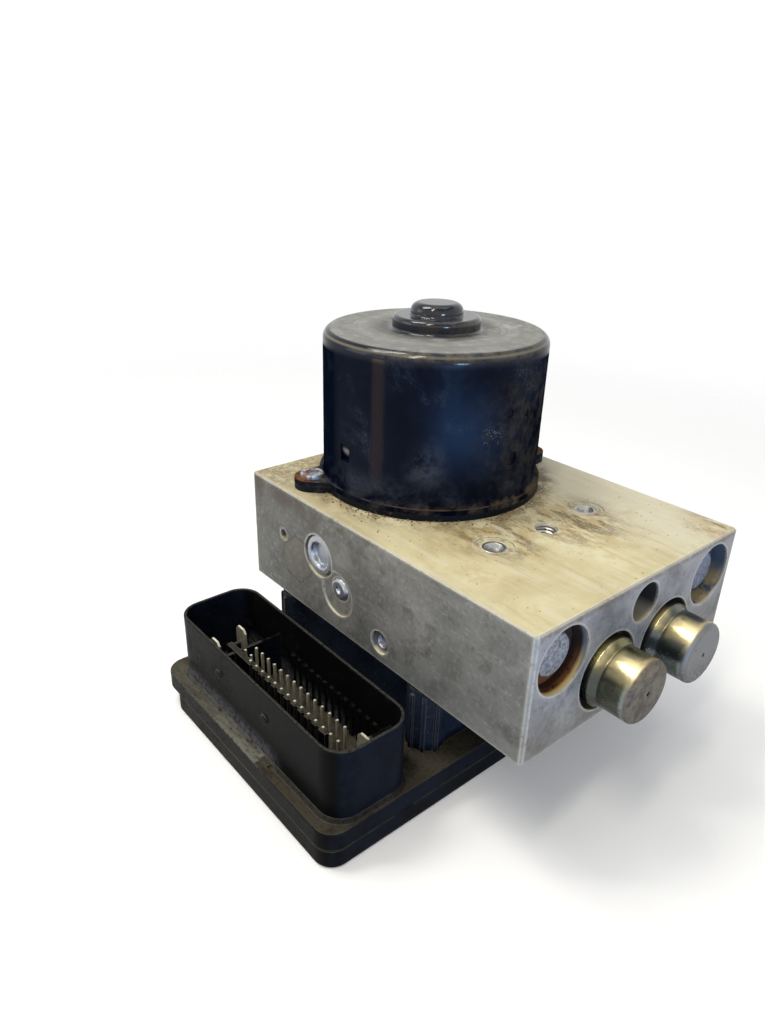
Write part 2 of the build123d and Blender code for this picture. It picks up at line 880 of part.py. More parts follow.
for y, side in accumulator_sides:
    axis_base = (0, y, accumulator_z)
    with BuildPart() as accumulator_piston:
        groove = seal_section / 2 + 2 * seat_gap
        end = piston_seat + accumulator_piston_length
        turn(
            [
                (0, piston_seat),
                (piston_head, piston_seat, accumulator_piston_round),
                (piston_head, groove_mid - groove),
                (ring_groove - seat_gap, groove_mid - groove),
                (ring_groove - seat_gap, groove_mid + groove),
                (piston_head, groove_mid + groove),
                (piston_head, end),
                (accumulator_spring_radius + loose_gap, end),
                (accumulator_spring_radius + loose_gap, end - cup_depth),
                (0, end - cup_depth),
            ],
            axis_base,
            NOSE,
        )
    save(accumulator_piston.part, f"accumulator_piston_{side}")
    with BuildPart() as piston_seal:
        half = seal_section / 2
        turn(
            [
                (ring_groove, groove_mid - half),
                (accumulator_bore_radius - running_gap, groove_mid - half),
                (accumulator_bore_radius - running_gap, groove_mid + half),
                (ring_groove, groove_mid + half),
            ],
            axis_base,
            NOSE,
        )
    save(piston_seal.part, f"accumulator_seal_{side}")
    with BuildPart() as accumulator_spring:
        spring(
            accumulator_spring_radius,
            accumulator_spring_wire,
            accumulator_spring_turns,
            end - cup_depth + seat_gap,
            cap_face - cap_wall - seat_gap,
            NOSE,
            axis_base,
        )
    save(accumulator_spring.part, f"accumulator_spring_{side}")
    with BuildPart() as accumulator_cap:
        skirt_end = nose_x + cap_skirt_length
        turn(
            [
                (cap_radius - cap_wall, cap_seat),
                (accumulator_mouth_radius - seat_gap, cap_seat),
                (accumulator_mouth_radius - seat_gap, cap_seat + cap_flange_thickness),
                (cap_skirt_radius, cap_seat + cap_flange_thickness),
                (cap_skirt_radius, nose_x + cap_skirt_length / 3, cap_skirt_round),
                (cap_radius, skirt_end, cap_waist_round),
                (cap_radius, cap_face, cap_round),
                (cap_vent_radius, cap_face),
                (cap_vent_radius, cap_face - cap_wall),
                (cap_radius - cap_wall, cap_face - cap_wall, cap_round - cap_wall),
            ],
            axis_base,
            NOSE,
        )
    save(accumulator_cap.part, f"accumulator_cap_{side}")

with BuildPart() as cap_circlips:
    for y, side in accumulator_sides:
        with BuildSketch(Plane(origin=(clip_base, y, accumulator_z), x_dir=BACK, z_dir=NOSE)):
            Circle(circlip_radius)
            Circle(circlip_radius - circlip_width, mode=Mode.SUBTRACT)
            with Locations((0, circlip_radius)):
                Rectangle(circlip_opening, 3 * circlip_width, mode=Mode.SUBTRACT)
        extrude(amount=circlip_thickness)
save(cap_circlips.part, "cap_circlips")

# ======== Closing plugs
with BuildPart() as damper_plugs:
    for y in (-damper_y, damper_y):
        rim = nose_x - damper_seat_depth + damper_plug_thickness
        turn(
            [
                (0, nose_x - damper_seat_depth),
                (damper_radius - seat_gap, nose_x - damper_seat_depth),
                (damper_radius - seat_gap, rim, damper_rim_round),
                (damper_button_radius + damper_button_taper, rim),
                (damper_button_radius, nose_x - damper_button_depth, damper_button_round),
                (0, nose_x - damper_button_depth),
            ],
            (0, y, damper_z),
            NOSE,
        )
save(damper_plugs.part, "damper_plugs")

with BuildPart() as gallery_plugs:
    level = -gallery_spotface_depth
    for y in (-gallery_plug_pitch / 2, gallery_plug_pitch / 2):
        turn(
            [
                (0, level - gallery_plug_length),
                (gallery_plug_radius - seat_gap, level - gallery_plug_length),
                (gallery_plug_radius - seat_gap, level, gallery_plug_round),
                (gallery_cup_radius, level, gallery_plug_round),
                (gallery_cup_radius - gallery_cup_taper, level - gallery_cup_depth),
                (0, level - gallery_cup_depth),
            ],
            (gallery_plug_x, y, block_top),
        )
save(gallery_plugs.part, "gallery_plugs")

with BuildPart() as dome_plug:
    level = -dome_spotface_depth
    tip = level + dome_plug_rise
    turn(
        [
            (0, level - dome_plug_length),
            (dome_plug_radius - seat_gap, level - dome_plug_length),
            (dome_plug_radius - seat_gap, tip, dome_plug_round),
            (dome_plug_pit_radius, tip, dome_plug_pit_round),
            (dome_plug_pit_radius - dome_plug_pit_taper, tip - dome_plug_pit_depth),
            (0, tip - dome_plug_pit_depth),
        ],
        (dome_plug_x, -side_y, block_top - dome_plug_drop),
        FRONT,
    )
save(dome_plug.part, "dome_plug")

with BuildPart() as small_plug:
    level = -small_plug_recess
    turn(
        [
            (0, level - small_plug_length),
            (small_plug_radius - seat_gap, level - small_plug_length),
            (small_plug_radius - seat_gap, level, small_plug_round),
            (small_plug_cup_radius, level, small_plug_cup_round),
            (small_plug_cup_radius - small_plug_cup_taper, level - small_plug_cup_depth),
            (0, level - small_plug_cup_depth),
        ],
        (small_plug_x, -side_y, block_top - small_plug_drop),
        FRONT,
    )
save(small_plug.part, "small_plug")

# ======== Valve block: one machined aluminium block with every bore that it holds
valve_spots = [
    (valve_field_x + (column - (valve_columns - 1) / 2) * valve_pitch_x, row * valve_rows_y / 2)
    for row in (-1, 1)
    for column in range(valve_columns)
]
column_spots = [(x, y) for x in (column_left, column_right) for y in (-column_y, column_y)]

with BuildPart() as valve_block:
    box(tail_x, nose_x, -side_y, side_y, block_bottom, block_top)
    chamfer(valve_block.edges().filter_by(Axis.Z), block_chamfer)
    outlines = valve_block.edges().group_by(Axis.Z)
    chamfer(outlines[0] + outlines[-1], block_edge_break)
    with BuildSketch(Plane.XY.offset(block_top)):
        Circle(motor_seal_radius + motor_seal_width / 2)
        Circle(motor_seal_radius - motor_seal_width / 2, mode=Mode.SUBTRACT)
    extrude(amount=-motor_seal_height, mode=Mode.SUBTRACT)
    mouth_depth = boss_depth + loose_gap
    bore(
        [
            (boss_radius + seat_gap, mouth_depth),
            (chamber_radius, mouth_depth),
            (chamber_radius, chamber_depth),
        ],
        (0, 0, block_top),
        UP,
    )
    for out, side in pump_sides:
        bore(
            [
                (pump_plug_radius, 0),
                (pump_plug_radius, side_y - plug_inner),
                (sleeve_radius + seat_gap, side_y - plug_inner),
                (sleeve_radius + seat_gap, side_y - chamber_radius / 2),
            ],
            (0, out[1] * side_y, pump_z),
            out,
        )
    groove_near = nose_x - clip_base - circlip_thickness - seat_gap
    groove_far = nose_x - clip_base + seat_gap
    for y, side in accumulator_sides:
        bore(
            [
                (accumulator_mouth_radius, 0),
                (accumulator_mouth_radius, groove_near),
                (clip_groove_radius, groove_near),
                (clip_groove_radius, groove_far),
                (accumulator_mouth_radius, groove_far),
                (accumulator_mouth_radius, accumulator_mouth_depth),
                (accumulator_bore_radius, accumulator_mouth_depth),
                (accumulator_bore_radius, accumulator_bore_depth + seat_gap),
            ],
            (nose_x, y, accumulator_z),
            NOSE,
        )
    for y in (-damper_y, damper_y):
        bore(
            [
                (damper_radius, 0),
                (damper_radius, damper_seat_depth),
                (damper_radius - damper_seat_width, damper_seat_depth),
                (damper_radius - damper_seat_width, damper_depth),
            ],
            (nose_x, y, damper_z),
            NOSE,
        )
    bore([(bush_radius, 0), (bush_radius, bush_depth)], (nose_x, 0, block_top - bush_drop), NOSE)
    bore(
        [
            (thread_mouth_radius, 0),
            (thread_radius, thread_mouth_radius - thread_radius),
            (thread_radius, thread_depth),
            (0, thread_depth + thread_radius / 2),
        ],
        (thread_x, 0, block_top),
        UP,
    )
    for y in (-gallery_plug_pitch / 2, gallery_plug_pitch / 2):
        seat = gallery_spotface_depth + gallery_plug_length
        bore(
            [
                (gallery_spotface_radius, 0),
                (gallery_spotface_radius, gallery_spotface_depth),
                (gallery_plug_radius, gallery_spotface_depth),
                (gallery_plug_radius, seat),
                (gallery_drill_radius, seat),
                (gallery_drill_radius, gallery_drill_depth),
            ],
            (gallery_plug_x, y, block_top),
            UP,
        )
    bore(
        [(dome_spotface_radius, 0), (dome_spotface_radius, dome_spotface_depth)],
        (dome_spotface_x, -side_y, block_top - dome_spotface_drop),
        FRONT,
    )
    bore(
        [(dome_plug_radius, 0), (dome_plug_radius, dome_spotface_depth + dome_plug_length)],
        (dome_plug_x, -side_y, block_top - dome_plug_drop),
        FRONT,
    )
    bore(
        [(small_plug_radius, 0), (small_plug_radius, small_plug_recess + small_plug_length)],
        (small_plug_x, -side_y, block_top - small_plug_drop),
        FRONT,
    )
    bore(
        [
            (locating_hole_radius, 0),
            (locating_hole_radius, locating_hole_depth),
            (0, locating_hole_depth + locating_hole_point),
        ],
        (locating_hole_x, -side_y, block_top - locating_hole_drop),
        FRONT,
    )
    for place in range(wheel_port_count):
        bore(
            [
                (wheel_port_radius + port_chamfer, 0),
                (wheel_port_radius, port_chamfer),
                (wheel_port_radius, wheel_port_depth),
                (port_seat_radius, wheel_port_depth),
                (port_seat_radius, wheel_port_depth + port_seat_depth),
            ],
            (tail_x, (place - (wheel_port_count - 1) / 2) * wheel_port_pitch, block_top - wheel_port_drop),
            TAIL,
        )
    for side in (-1, 1):
        bore(
            [
                (master_port_radius + port_chamfer, 0),
                (master_port_radius, port_chamfer),
                (master_port_radius, master_port_depth),
                (port_seat_radius, master_port_depth),
                (port_seat_radius, master_port_depth + port_seat_depth),
            ],
            (tail_x, side * master_port_pitch / 2, block_top - master_port_drop),
            TAIL,
        )
    for x, y in valve_spots:
        bore(
            [
                (valve_collar_radius + seat_gap, 0),
                (valve_collar_radius + seat_gap, valve_collar_height / 2),
                (valve_stem_radius + seat_gap, valve_collar_height / 2),
                (valve_stem_radius + seat_gap, valve_stem_height + loose_gap),
            ],
            (x, y, block_bottom),
            DOWN,
        )
    bore([(lead_sleeve_radius + seat_gap, block_height + overshoot)], (lead_x, 0, block_top), UP)
    for angle in ear_angles:
        bore([(motor_screw_radius, motor_screw_grip)], polar(ear_distance, angle, block_top), UP)
    for x, y in column_spots:
        bore([(ecu_screw_radius, ecu_screw_grip + ecu_screw_hole_spare)], (x, y, block_bottom), DOWN)
save(valve_block.part, "valve_block")

# ======== Solenoid valves: a cartridge pressed into the block, its dome reaching into the coil
dome_tip = block_bottom - valve_dome_drop
collar_bottom = block_bottom - valve_collar_height / 2
plunger_bottom = dome_tip + valve_dome_wall + loose_gap + plunger_stroke
plunger_top = plunger_bottom + plunger_length
dome_bore = valve_dome_radius - valve_dome_wall
pin_top = block_bottom + valve_stem_height / 2


def cartridge(x, y):
    """One valve body: stem, staked collar and thin dome, hollow for its plunger."""
    turn(
        [
            (0, dome_tip),
            (valve_dome_radius, dome_tip, valve_dome_round),
            (valve_dome_radius, collar_bottom),
            (valve_collar_radius, collar_bottom),
            (valve_collar_radius, block_bottom + valve_collar_height / 2 - seat_gap),
            (valve_stem_radius, block_bottom + valve_collar_height / 2 - seat_gap),
            (valve_stem_radius, block_bottom + valve_stem_height),
            (0, block_bottom + valve_stem_height),
            (0, pin_top + loose_gap + plunger_stroke),
            (valve_bore_radius, pin_top + loose_gap + plunger_stroke),
            (valve_bore_radius, plunger_top + loose_gap + plunger_stroke),
            (dome_bore, plunger_top + loose_gap + plunger_stroke),
            (dome_bore, dome_tip + valve_dome_wall),
            (0, dome_tip + valve_dome_wall),
        ],
        (x, y, 0),
    )


with BuildPart() as inlet_valves:
    for x, y in valve_spots[:valve_columns]:
        cartridge(x, y)
save(inlet_valves.part, "inlet_valves")

with BuildPart() as outlet_valves:
    for x, y in valve_spots[valve_columns:]:
        cartridge(x, y)
save(outlet_valves.part, "outlet_valves")

plunger_names = [
    f"{kind}_plunger_{number + 1}" for kind in ("inlet", "outlet") for number in range(valve_columns)
]
for (x, y), name in zip(valve_spots, plunger_names):
    with BuildPart() as plunger:
        turn(
            [
                (0, plunger_bottom),
                (dome_bore - 3 * running_gap, plunger_bottom, plunger_round),
                (dome_bore - 3 * running_gap, plunger_top),
                (plunger_pin_radius, plunger_top),
                (plunger_pin_radius, pin_top),
                (0, pin_top),
            ],
            (x, y, 0),
        )
    save(plunger.part, name)

# ======== Valve coils, one over each dome, standing on the chamber's floor
with BuildPart() as valve_coils:
    for x, y in valve_spots:
        turn(
            [
                (valve_dome_radius + loose_gap, flange_top),
                (coil_radius, flange_top),
                (coil_radius, flange_top + coil_height),
                (valve_dome_radius + loose_gap, flange_top + coil_height),
            ],
            (x, y, 0),
        )
save(valve_coils.part, "valve_coils")

# ======== Connector contacts
pin_spots = [
    (number * pin_pitch, y, reach)
    for y, reach, first, count in pin_rows
    for number in range(first, first + count)
]
blade_spots = [(x, y, reach) for x in blade_x for y, reach in blade_rows]

with BuildPart() as signal_pins:
    half = pin_size / 2
    for x, y, reach in pin_spots:
        box(x - half, x + half, y - half, y + half, board_top, flange_top + reach)
save(signal_pins.part, "signal_pins")

with BuildPart() as power_blades:
    for x, y, reach in blade_spots:
        with BuildSketch(Plane(origin=(x, y - blade_thickness / 2, 0), x_dir=NOSE, z_dir=FRONT)):
            half = blade_width / 2
            with BuildLine():
                Polyline(
                    (-half, board_top),
                    (half, board_top),
                    (half, flange_top + reach - blade_tip),
                    (half - blade_tip, flange_top + reach),
                    (blade_tip - half, flange_top + reach),
                    (-half, flange_top + reach - blade_tip),
                    close=True,
                )
            make_face()
        extrude(amount=-blade_thickness)
save(power_blades.part, "power_blades")

# ======== Control unit housing: tray, coil chamber with its screw columns, and the shroud
rim = (rim_left, rim_right, rim_front, rim_back, rim_corner)
cover = (
    rim_left + cover_left_inset,
    rim_right - cover_inset,
    rim_front + cover_inset,
    rim_back - cover_inset,
    cover_corner,
)
chamber = (chamber_left, chamber_right, chamber_front, chamber_back, chamber_corner)
shroud = (shroud_left, shroud_right, shroud_front, shroud_back, shroud_corner)
chamber_top = block_bottom - ecu_seal_height
shroud_top = flange_top + shroud_height
floor_bottom = flange_top - floor_thickness
shroud_floor_front = shroud_front + shroud_wall
shroud_floor_back = shroud_back - shroud_wall


def coil_room():
    """Plan of the space round the coils: the chamber's inside, less its four screw columns."""
    with BuildSketch() as room:
        plan(chamber, chamber_wall)
        with Locations(*column_spots):
            Circle(column_radius, mode=Mode.SUBTRACT)
    return room.sketch


with BuildPart() as ecu_housing:
    with BuildSketch(Plane.XY.offset(cover_height)):
        plan(rim)
    extrude(amount=rim_height)
    fillet(ecu_housing.edges().group_by(Axis.Z)[-1], rim_round)
    chamfer(ecu_housing.edges().group_by(Axis.Z)[0], joint_bevel)
    with BuildSketch(Plane.XY.offset(cover_height)):
        plan(cover, tray_wall)
    extrude(amount=floor_bottom - cover_height, mode=Mode.SUBTRACT)
    with BuildSketch(Plane.XY.offset(flange_top)):
        plan(chamber)
        with Locations(*column_spots):
            Circle(column_radius)
        add(coil_room(), mode=Mode.SUBTRACT)
    extrude(amount=chamber_top - flange_top)
    with BuildSketch(Plane.XY.offset(flange_top)):
        for x, y in column_spots:
            first_rib = degrees(atan2(y, x - (chamber_left + chamber_right) / 2)) - rib_spread
            with Locations((x, y)):
                with PolarLocations(column_radius, rib_count, first_rib, 2 * rib_spread, endpoint=True):
                    Rectangle(2 * rib_reach, rib_width)
    extrude(amount=chamber_top - flange_top - rib_drop)
    with BuildSketch(Plane.XY.offset(cover_floor)):
        with Locations(*column_spots):
            Circle(column_foot_radius)
    extrude(amount=flange_top - cover_floor)
    with BuildSketch(Plane.XY.offset(chamber_top)):
        with Locations(*column_spots):
            Circle(column_boss_radius)
    extrude(amount=ecu_seal_height)
    for x, y in column_spots:
        seat = flange_top - cover_floor
        bore(
            [
                (ecu_screw_head_radius + loose_gap, 0),
                (ecu_screw_head_radius + loose_gap, seat),
                (ecu_screw_radius + loose_gap, seat),
                (ecu_screw_radius + loose_gap, block_bottom - cover_floor + overshoot),
            ],
            (x, y, cover_floor),
            DOWN,
        )
    with BuildSketch(Plane.XY.offset(flange_top)):
        plan(shroud, -shroud_foot)
    with BuildSketch(Plane.XY.offset(flange_top + shroud_foot)):
        plan(shroud)
    loft()
    with BuildSketch(Plane.XY.offset(flange_top + shroud_foot)):
        plan(shroud)
    extrude(amount=shroud_height - shroud_foot)
    with BuildSketch(Plane.XY.offset(flange_top)):
        plan(shroud, shroud_wall)
    extrude(amount=shroud_height, mode=Mode.SUBTRACT)
    fillet(ecu_housing.edges().group_by(Axis.Z)[-1], shroud_round)
    for x in knob_x:
        spot = (x, shroud_front, shroud_top - knob_drop)
        root = -shroud_wall / 2
        knob = [(0, root), (knob_radius, root), (knob_radius, knob_reach, knob_round), (0, knob_reach)]
        turn(knob, spot, FRONT)
    front, back = partition_y - partition_thickness / 2, partition_y + partition_thickness / 2
    box(partition_left, partition_right, front, back, flange_top, flange_top + partition_height)
    for x in web_x:
        half = web_thickness / 2
        box(x - half, x + half, shroud_floor_front, shroud_floor_back, flange_top, flange_top + web_height)
    stub_back = blade_rows[0][0] - blade_thickness / 2 - seat_gap
    stub_top = flange_top + web_height
    box(partition_left, partition_left + web_thickness, back, stub_back, flange_top, stub_top)
    first, count = pin_rows[0][2:]
    half = comb_width / 2
    for number in range(first, first + count):
        x, wall = number * pin_pitch, shroud_floor_back
        box(x - half, x + half, wall - comb_depth, wall, flange_top, flange_top + comb_height)
    top, half = flange_top + partition_height, groove_width / 2
    for number in range(int(partition_right / pin_pitch)):
        x = (number + 0.5) * pin_pitch
        box(x - half, x + half, front, front + groove_depth, flange_top, top, Mode.SUBTRACT)
    box(tab_left, tab_right, shroud_front - tab_depth, shroud_front, flange_top, flange_top + tab_height)
    with BuildSketch(Plane.XY.offset(floor_bottom)):
        with Locations(*[(x, y) for x, y, reach in pin_spots]):
            Rectangle(pin_size + 2 * seat_gap, pin_size + 2 * seat_gap)
        with Locations(*[(x, y) for x, y, reach in blade_spots]):
            Rectangle(blade_width + 2 * seat_gap, blade_thickness + 2 * seat_gap)
        with Locations(*[(lead_x, side * motor_pin_pitch / 2) for side in (1, -1)]):
            Circle(motor_pin_radius + loose_gap)
    extrude(amount=floor_thickness + partition_height, mode=Mode.SUBTRACT)
save(ecu_housing.part, "ecu_housing")

with BuildPart() as ecu_seal:
    with BuildSketch(Plane.XY.offset(chamber_top)):
        outer, inner = (chamber_wall + ecu_seal_width) / 2, (chamber_wall - ecu_seal_width) / 2
        add(offset(coil_room(), amount=outer, mode=Mode.PRIVATE))
        add(offset(coil_room(), amount=inner, mode=Mode.PRIVATE), mode=Mode.SUBTRACT)
    extrude(amount=ecu_seal_height)
save(ecu_seal.part, "ecu_seal")

with BuildPart() as ecu_screws:
    for x, y in column_spots:
        turn(
            [
                (0, -ecu_screw_head_height),
                (ecu_screw_head_radius, -ecu_screw_head_height, ecu_screw_round),
                (ecu_screw_head_radius, 0),
                (ecu_screw_radius, 0),
                (ecu_screw_radius, block_bottom + ecu_screw_grip - flange_top),
                (0, block_bottom + ecu_screw_grip - flange_top),
            ],
            (x, y, flange_top),
        )
    with BuildSketch(Plane.XY.offset(flange_top - ecu_screw_head_height)):
        with Locations(*column_spots):
            RegularPolygon(ecu_screw_radius, 6)
    extrude(amount=ecu_screw_recess, mode=Mode.SUBTRACT)
save(ecu_screws.part, "ecu_screws")

# ======== Cover underneath, a shallow tray that clips the rim shut round the circuit board
with BuildPart() as ecu_cover:
    with BuildSketch():
        plan(cover)
    extrude(amount=cover_height)
    chamfer(ecu_cover.edges().group_by(Axis.Z)[0], cover_edge)
    chamfer(ecu_cover.edges().group_by(Axis.Z)[-1], joint_bevel)
    with BuildSketch(Plane.XY.offset(cover_floor)):
        plan(cover, cover_wall)
    extrude(amount=cover_height - cover_floor, mode=Mode.SUBTRACT)
    with BuildSketch():
        with Locations(*column_spots):
            Circle(ecu_screw_head_radius + loose_gap)
    extrude(amount=cover_floor, mode=Mode.SUBTRACT)
save(ecu_cover.part, "ecu_cover")

with BuildPart() as circuit_board:
    with BuildSketch(Plane.XY.offset(board_bottom)):
        plan(cover, cover_wall + board_gap)
        with Locations(*column_spots):
            Circle(column_foot_radius + loose_gap, mode=Mode.SUBTRACT)
    extrude(amount=board_thickness)
save(circuit_board.part, "circuit_board")
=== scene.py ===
"""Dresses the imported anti-lock brake unit: its finishes, small details, lights and camera."""

import random
from math import cos, pi, radians, sin

import bmesh
import bpy
from bpy.props import FloatProperty, FloatVectorProperty, PointerProperty
from mathutils import Matrix, Vector


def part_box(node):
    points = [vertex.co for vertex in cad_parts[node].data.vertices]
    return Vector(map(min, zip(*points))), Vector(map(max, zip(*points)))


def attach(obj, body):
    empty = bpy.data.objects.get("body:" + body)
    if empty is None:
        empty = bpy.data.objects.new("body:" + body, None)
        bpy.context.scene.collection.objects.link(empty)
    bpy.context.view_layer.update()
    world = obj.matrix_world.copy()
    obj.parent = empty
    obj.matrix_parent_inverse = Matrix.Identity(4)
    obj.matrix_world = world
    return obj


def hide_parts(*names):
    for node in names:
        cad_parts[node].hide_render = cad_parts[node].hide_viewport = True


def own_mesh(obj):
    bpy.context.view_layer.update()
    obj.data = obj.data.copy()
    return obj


bl_info = {
    "name": "Anti-lock brake unit",
    "version": (1, 0, 0),
    "blender": (4, 5, 0),
    "location": "3D View > Sidebar > Brake Unit",
    "description": "Gives the packed brake unit its finishes, wear, small details, lights and camera",
    "category": "Object",
}

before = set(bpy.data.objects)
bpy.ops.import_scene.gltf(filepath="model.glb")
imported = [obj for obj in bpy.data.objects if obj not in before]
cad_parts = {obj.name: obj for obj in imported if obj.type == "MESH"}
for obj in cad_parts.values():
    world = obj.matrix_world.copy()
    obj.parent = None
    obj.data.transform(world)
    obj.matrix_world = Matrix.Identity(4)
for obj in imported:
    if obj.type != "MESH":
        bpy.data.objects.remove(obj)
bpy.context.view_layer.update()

MM = 0.001

# ---- Places read from the frame
BLOCK_LOW, BLOCK_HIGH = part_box("valve_block")
CAN_LOW, CAN_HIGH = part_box("motor_can")
CAP_LOW, CAP_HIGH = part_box("accumulator_cap_front")
HOUSING_LOW, HOUSING_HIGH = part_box("ecu_housing")
COVER_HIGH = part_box("ecu_cover")[1]
PLUG_LOW, PLUG_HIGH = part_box("pump_plug_front")
DAMPER_LOW, DAMPER_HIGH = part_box("damper_plugs")
PUMP_PLUG = (PLUG_LOW + PLUG_HIGH) / 2
CAN_FLANGE_RADIUS = (CAN_HIGH.x - CAN_LOW.x) / 2
CAN_RADIUS = CAN_FLANGE_RADIUS - 1.5 * MM
CAN_TOP = CAN_HIGH.z - 8.9 * MM
WALL_FOOT = CAN_LOW.z + 1.5 * MM
DAMPER_Z = (DAMPER_HIGH.z + DAMPER_LOW.z) / 2
DAMPER_Y = DAMPER_HIGH.y - (DAMPER_HIGH.z - DAMPER_LOW.z) / 2
BUSH_Z = BLOCK_HIGH.z - 9.2 * MM
BUSH_RADIUS = 7.4 * MM
WELL_RADIUS = 11.6 * MM
RECESS_END = BLOCK_HIGH.x - 40 * MM  # how far in the tones of the nose's bores reach
RIM_TOP = COVER_HIGH.z + 6.8 * MM
STRIP_END = 26.1 * MM
COMB_FRONT = HOUSING_LOW.y + 26.5 * MM
BRACKET_X = 57.7 * MM
WHEEL_PORTS = [y * MM for y in (-37.5, -12.5, 12.5, 37.5)]
WHEEL_PORT_Z = 71.0 * MM
MASTER_PORTS = [y * MM for y in (-25, 25)]
MASTER_PORT_Z = 52.5 * MM
# Where the camera stands from the motor, as a direction across the block: the can's gloss is laid out by it
CAMERA_SIDE = (0.71762, -0.69643)

# ---- Fine patterns, as wave scales
CUTTER_RINGS = 300.0
MILLED_LINES = 520.0
TURNED_LINES = 700.0
WOUND_TURNS = 420.0
STACKED_SHEETS = 630.0
CAN_RINGS = 420.0

# ---- Threads: the bore's radius, the pitch, the threaded depth and the ridge's height
BRACKET_THREAD = (3.4 * MM, 1.25 * MM, 13 * MM, 0.45 * MM)
WHEEL_PORT_THREAD = (4.5 * MM, 1.0 * MM, 7.5 * MM, 0.40 * MM)
MASTER_PORT_THREAD = (5.5 * MM, 1.0 * MM, 8.5 * MM, 0.40 * MM)
THREAD_START = 1.4 * MM  # below the face that the bore opens in
THREAD_STEPS = 48  # sections in a turn
THREAD_FLANK = 0.42  # share of the pitch from the ridge's crest to its root
THREAD_FADE = 0.08  # smallest share of the ridge, at its ends
THREAD_ROOT = 0.03 * MM  # how far the root is sunk in the wall

# ---- Grit
GRIT_SEED = 11
GRIT_COUNT = 150
GRIT_ARC = (-125, 40)
GRIT_SIZE = (0.16, 0.42)
GRIT_SPREAD = 1.3 * MM

CAMERA_PLACE = Vector((193.96, -188.23, 193.97)) * MM
CAMERA_RIGHT = Vector((0.64026762, 0.76775997, 0.02453569))
CAMERA_DOWN = Vector((0.3417634, -0.25611458, -0.90421408))
CAMERA_AHEAD = Vector((-0.68793543, 0.58732439, -0.42637414))
SENSOR_WIDTH = 36.0
NEAR_CLIP = 0.01

# ---- Floor and sky
FLOOR_TONE = (0.86, 0.86, 0.86)
FLOOR_GLOW = 0.16
FLOOR_FADE = (0.16, 0.38)  # where the floor starts and ends to clear, as shares of its radius
SKY_TONE = (0.92, 0.96, 1.0, 1)
SKY_STRENGTH = 0.48
ZENITH_TONE = (0.25, 0.27, 0.30, 1)
ZENITH_RAMP = (0.60, 0.85)

# ---- Lamps: name, place, aim, width, height, power in watts, tone and the beam's spread in degrees
UNIT_MIDDLE = (20 * MM, -10 * MM, 70 * MM)
WALL_MIDDLE = (33 * MM, -23 * MM, 110 * MM)
SHOULDER_FRONT = (34 * MM, -21 * MM, 135 * MM)
WALL_FRONT = (14 * MM, -38 * MM, 110 * MM)
LAMPS = (
    ("overhead", (-0.05, 0.05, 0.90), UNIT_MIDDLE, 0.80, 0.60, 1.9, (1.0, 0.97, 0.92), 180),
    ("tube_left", (-0.22, -0.30, 0.80), UNIT_MIDDLE, 0.070, 0.36, 1.60, (1.0, 0.98, 0.95), 180),
    ("tube_right", (0.16, -0.42, 0.80), UNIT_MIDDLE, 0.080, 0.42, 2.00, (1.0, 0.92, 0.78), 180),
    ("panel_left", (-0.26, -0.17, 0.76), UNIT_MIDDLE, 0.16, 0.26, 1.10, (1.0, 0.96, 0.88), 180),
    ("window", (0.604, -0.202, 0.150), SHOULDER_FRONT, 0.24, 0.15, 0.026, (0.42, 0.70, 1.0), 16),
    ("window_low", (0.243, -0.117, 0.045), WALL_MIDDLE, 0.200, 0.090, 0.018, (0.14, 0.40, 1.0), 80),
    ("window_core", (0.240, -0.120, 0.055), WALL_MIDDLE, 0.080, 0.060, 0.007, (0.16, 0.44, 1.0), 80),
    ("warm_strip", (-0.026, -0.264, 0.050), WALL_FRONT, 0.060, 0.11, 0.015, (1.0, 0.62, 0.36), 80),
    ("fill", (-0.55, -0.75, 0.40), UNIT_MIDDLE, 0.45, 0.45, 0.9, (1.0, 0.98, 0.95), 180),
)


class BrakeUnitSizes(bpy.types.PropertyGroup):
    """The floor's size and the camera's lens."""

    floor_radius: FloatProperty(
        name="Floor radius", description="How far the pale floor reaches", default=1.6, unit="LENGTH"
    )
    lens: FloatProperty(
        name="Lens",
        description="Focal length on a 36 mm wide sensor",
        default=35.58,
        subtype="DISTANCE_CAMERA",
    )


class BrakeUnitColours(bpy.types.PropertyGroup):
    """Base colours of the finishes, as linear light."""

    lacquer: FloatVectorProperty(
        name="Lacquer",
        description="Black stoving lacquer of the motor",
        subtype="COLOR",
        default=(0.0016, 0.0034, 0.0095),
    )
    aluminium: FloatVectorProperty(
        name="Aluminium",
        description="Bright worn metal of the block",
        subtype="COLOR",
        default=(0.66, 0.64, 0.55),
    )
    dirt: FloatVectorProperty(
        name="Dirt",
        description="Brown road dirt",
        subtype="COLOR",
        default=(0.16, 0.105, 0.055),
    )
    rust: FloatVectorProperty(
        name="Rust",
        description="Fresh rust",
        subtype="COLOR",
        default=(0.20, 0.075, 0.022),
    )
    zinc: FloatVectorProperty(
        name="Yellow zinc",
        description="Passivated zinc of the caps",
        subtype="COLOR",
        default=(0.080, 0.085, 0.066),
    )
    plastic: FloatVectorProperty(
        name="Black plastic",
        description="Moulded control unit",
        subtype="COLOR",
        default=(0.0030, 0.0031, 0.0036),
    )
    contact: FloatVectorProperty(
        name="Contact",
        description="Pale gold of the contacts",
        subtype="COLOR",
        default=(0.95, 0.88, 0.68),
    )


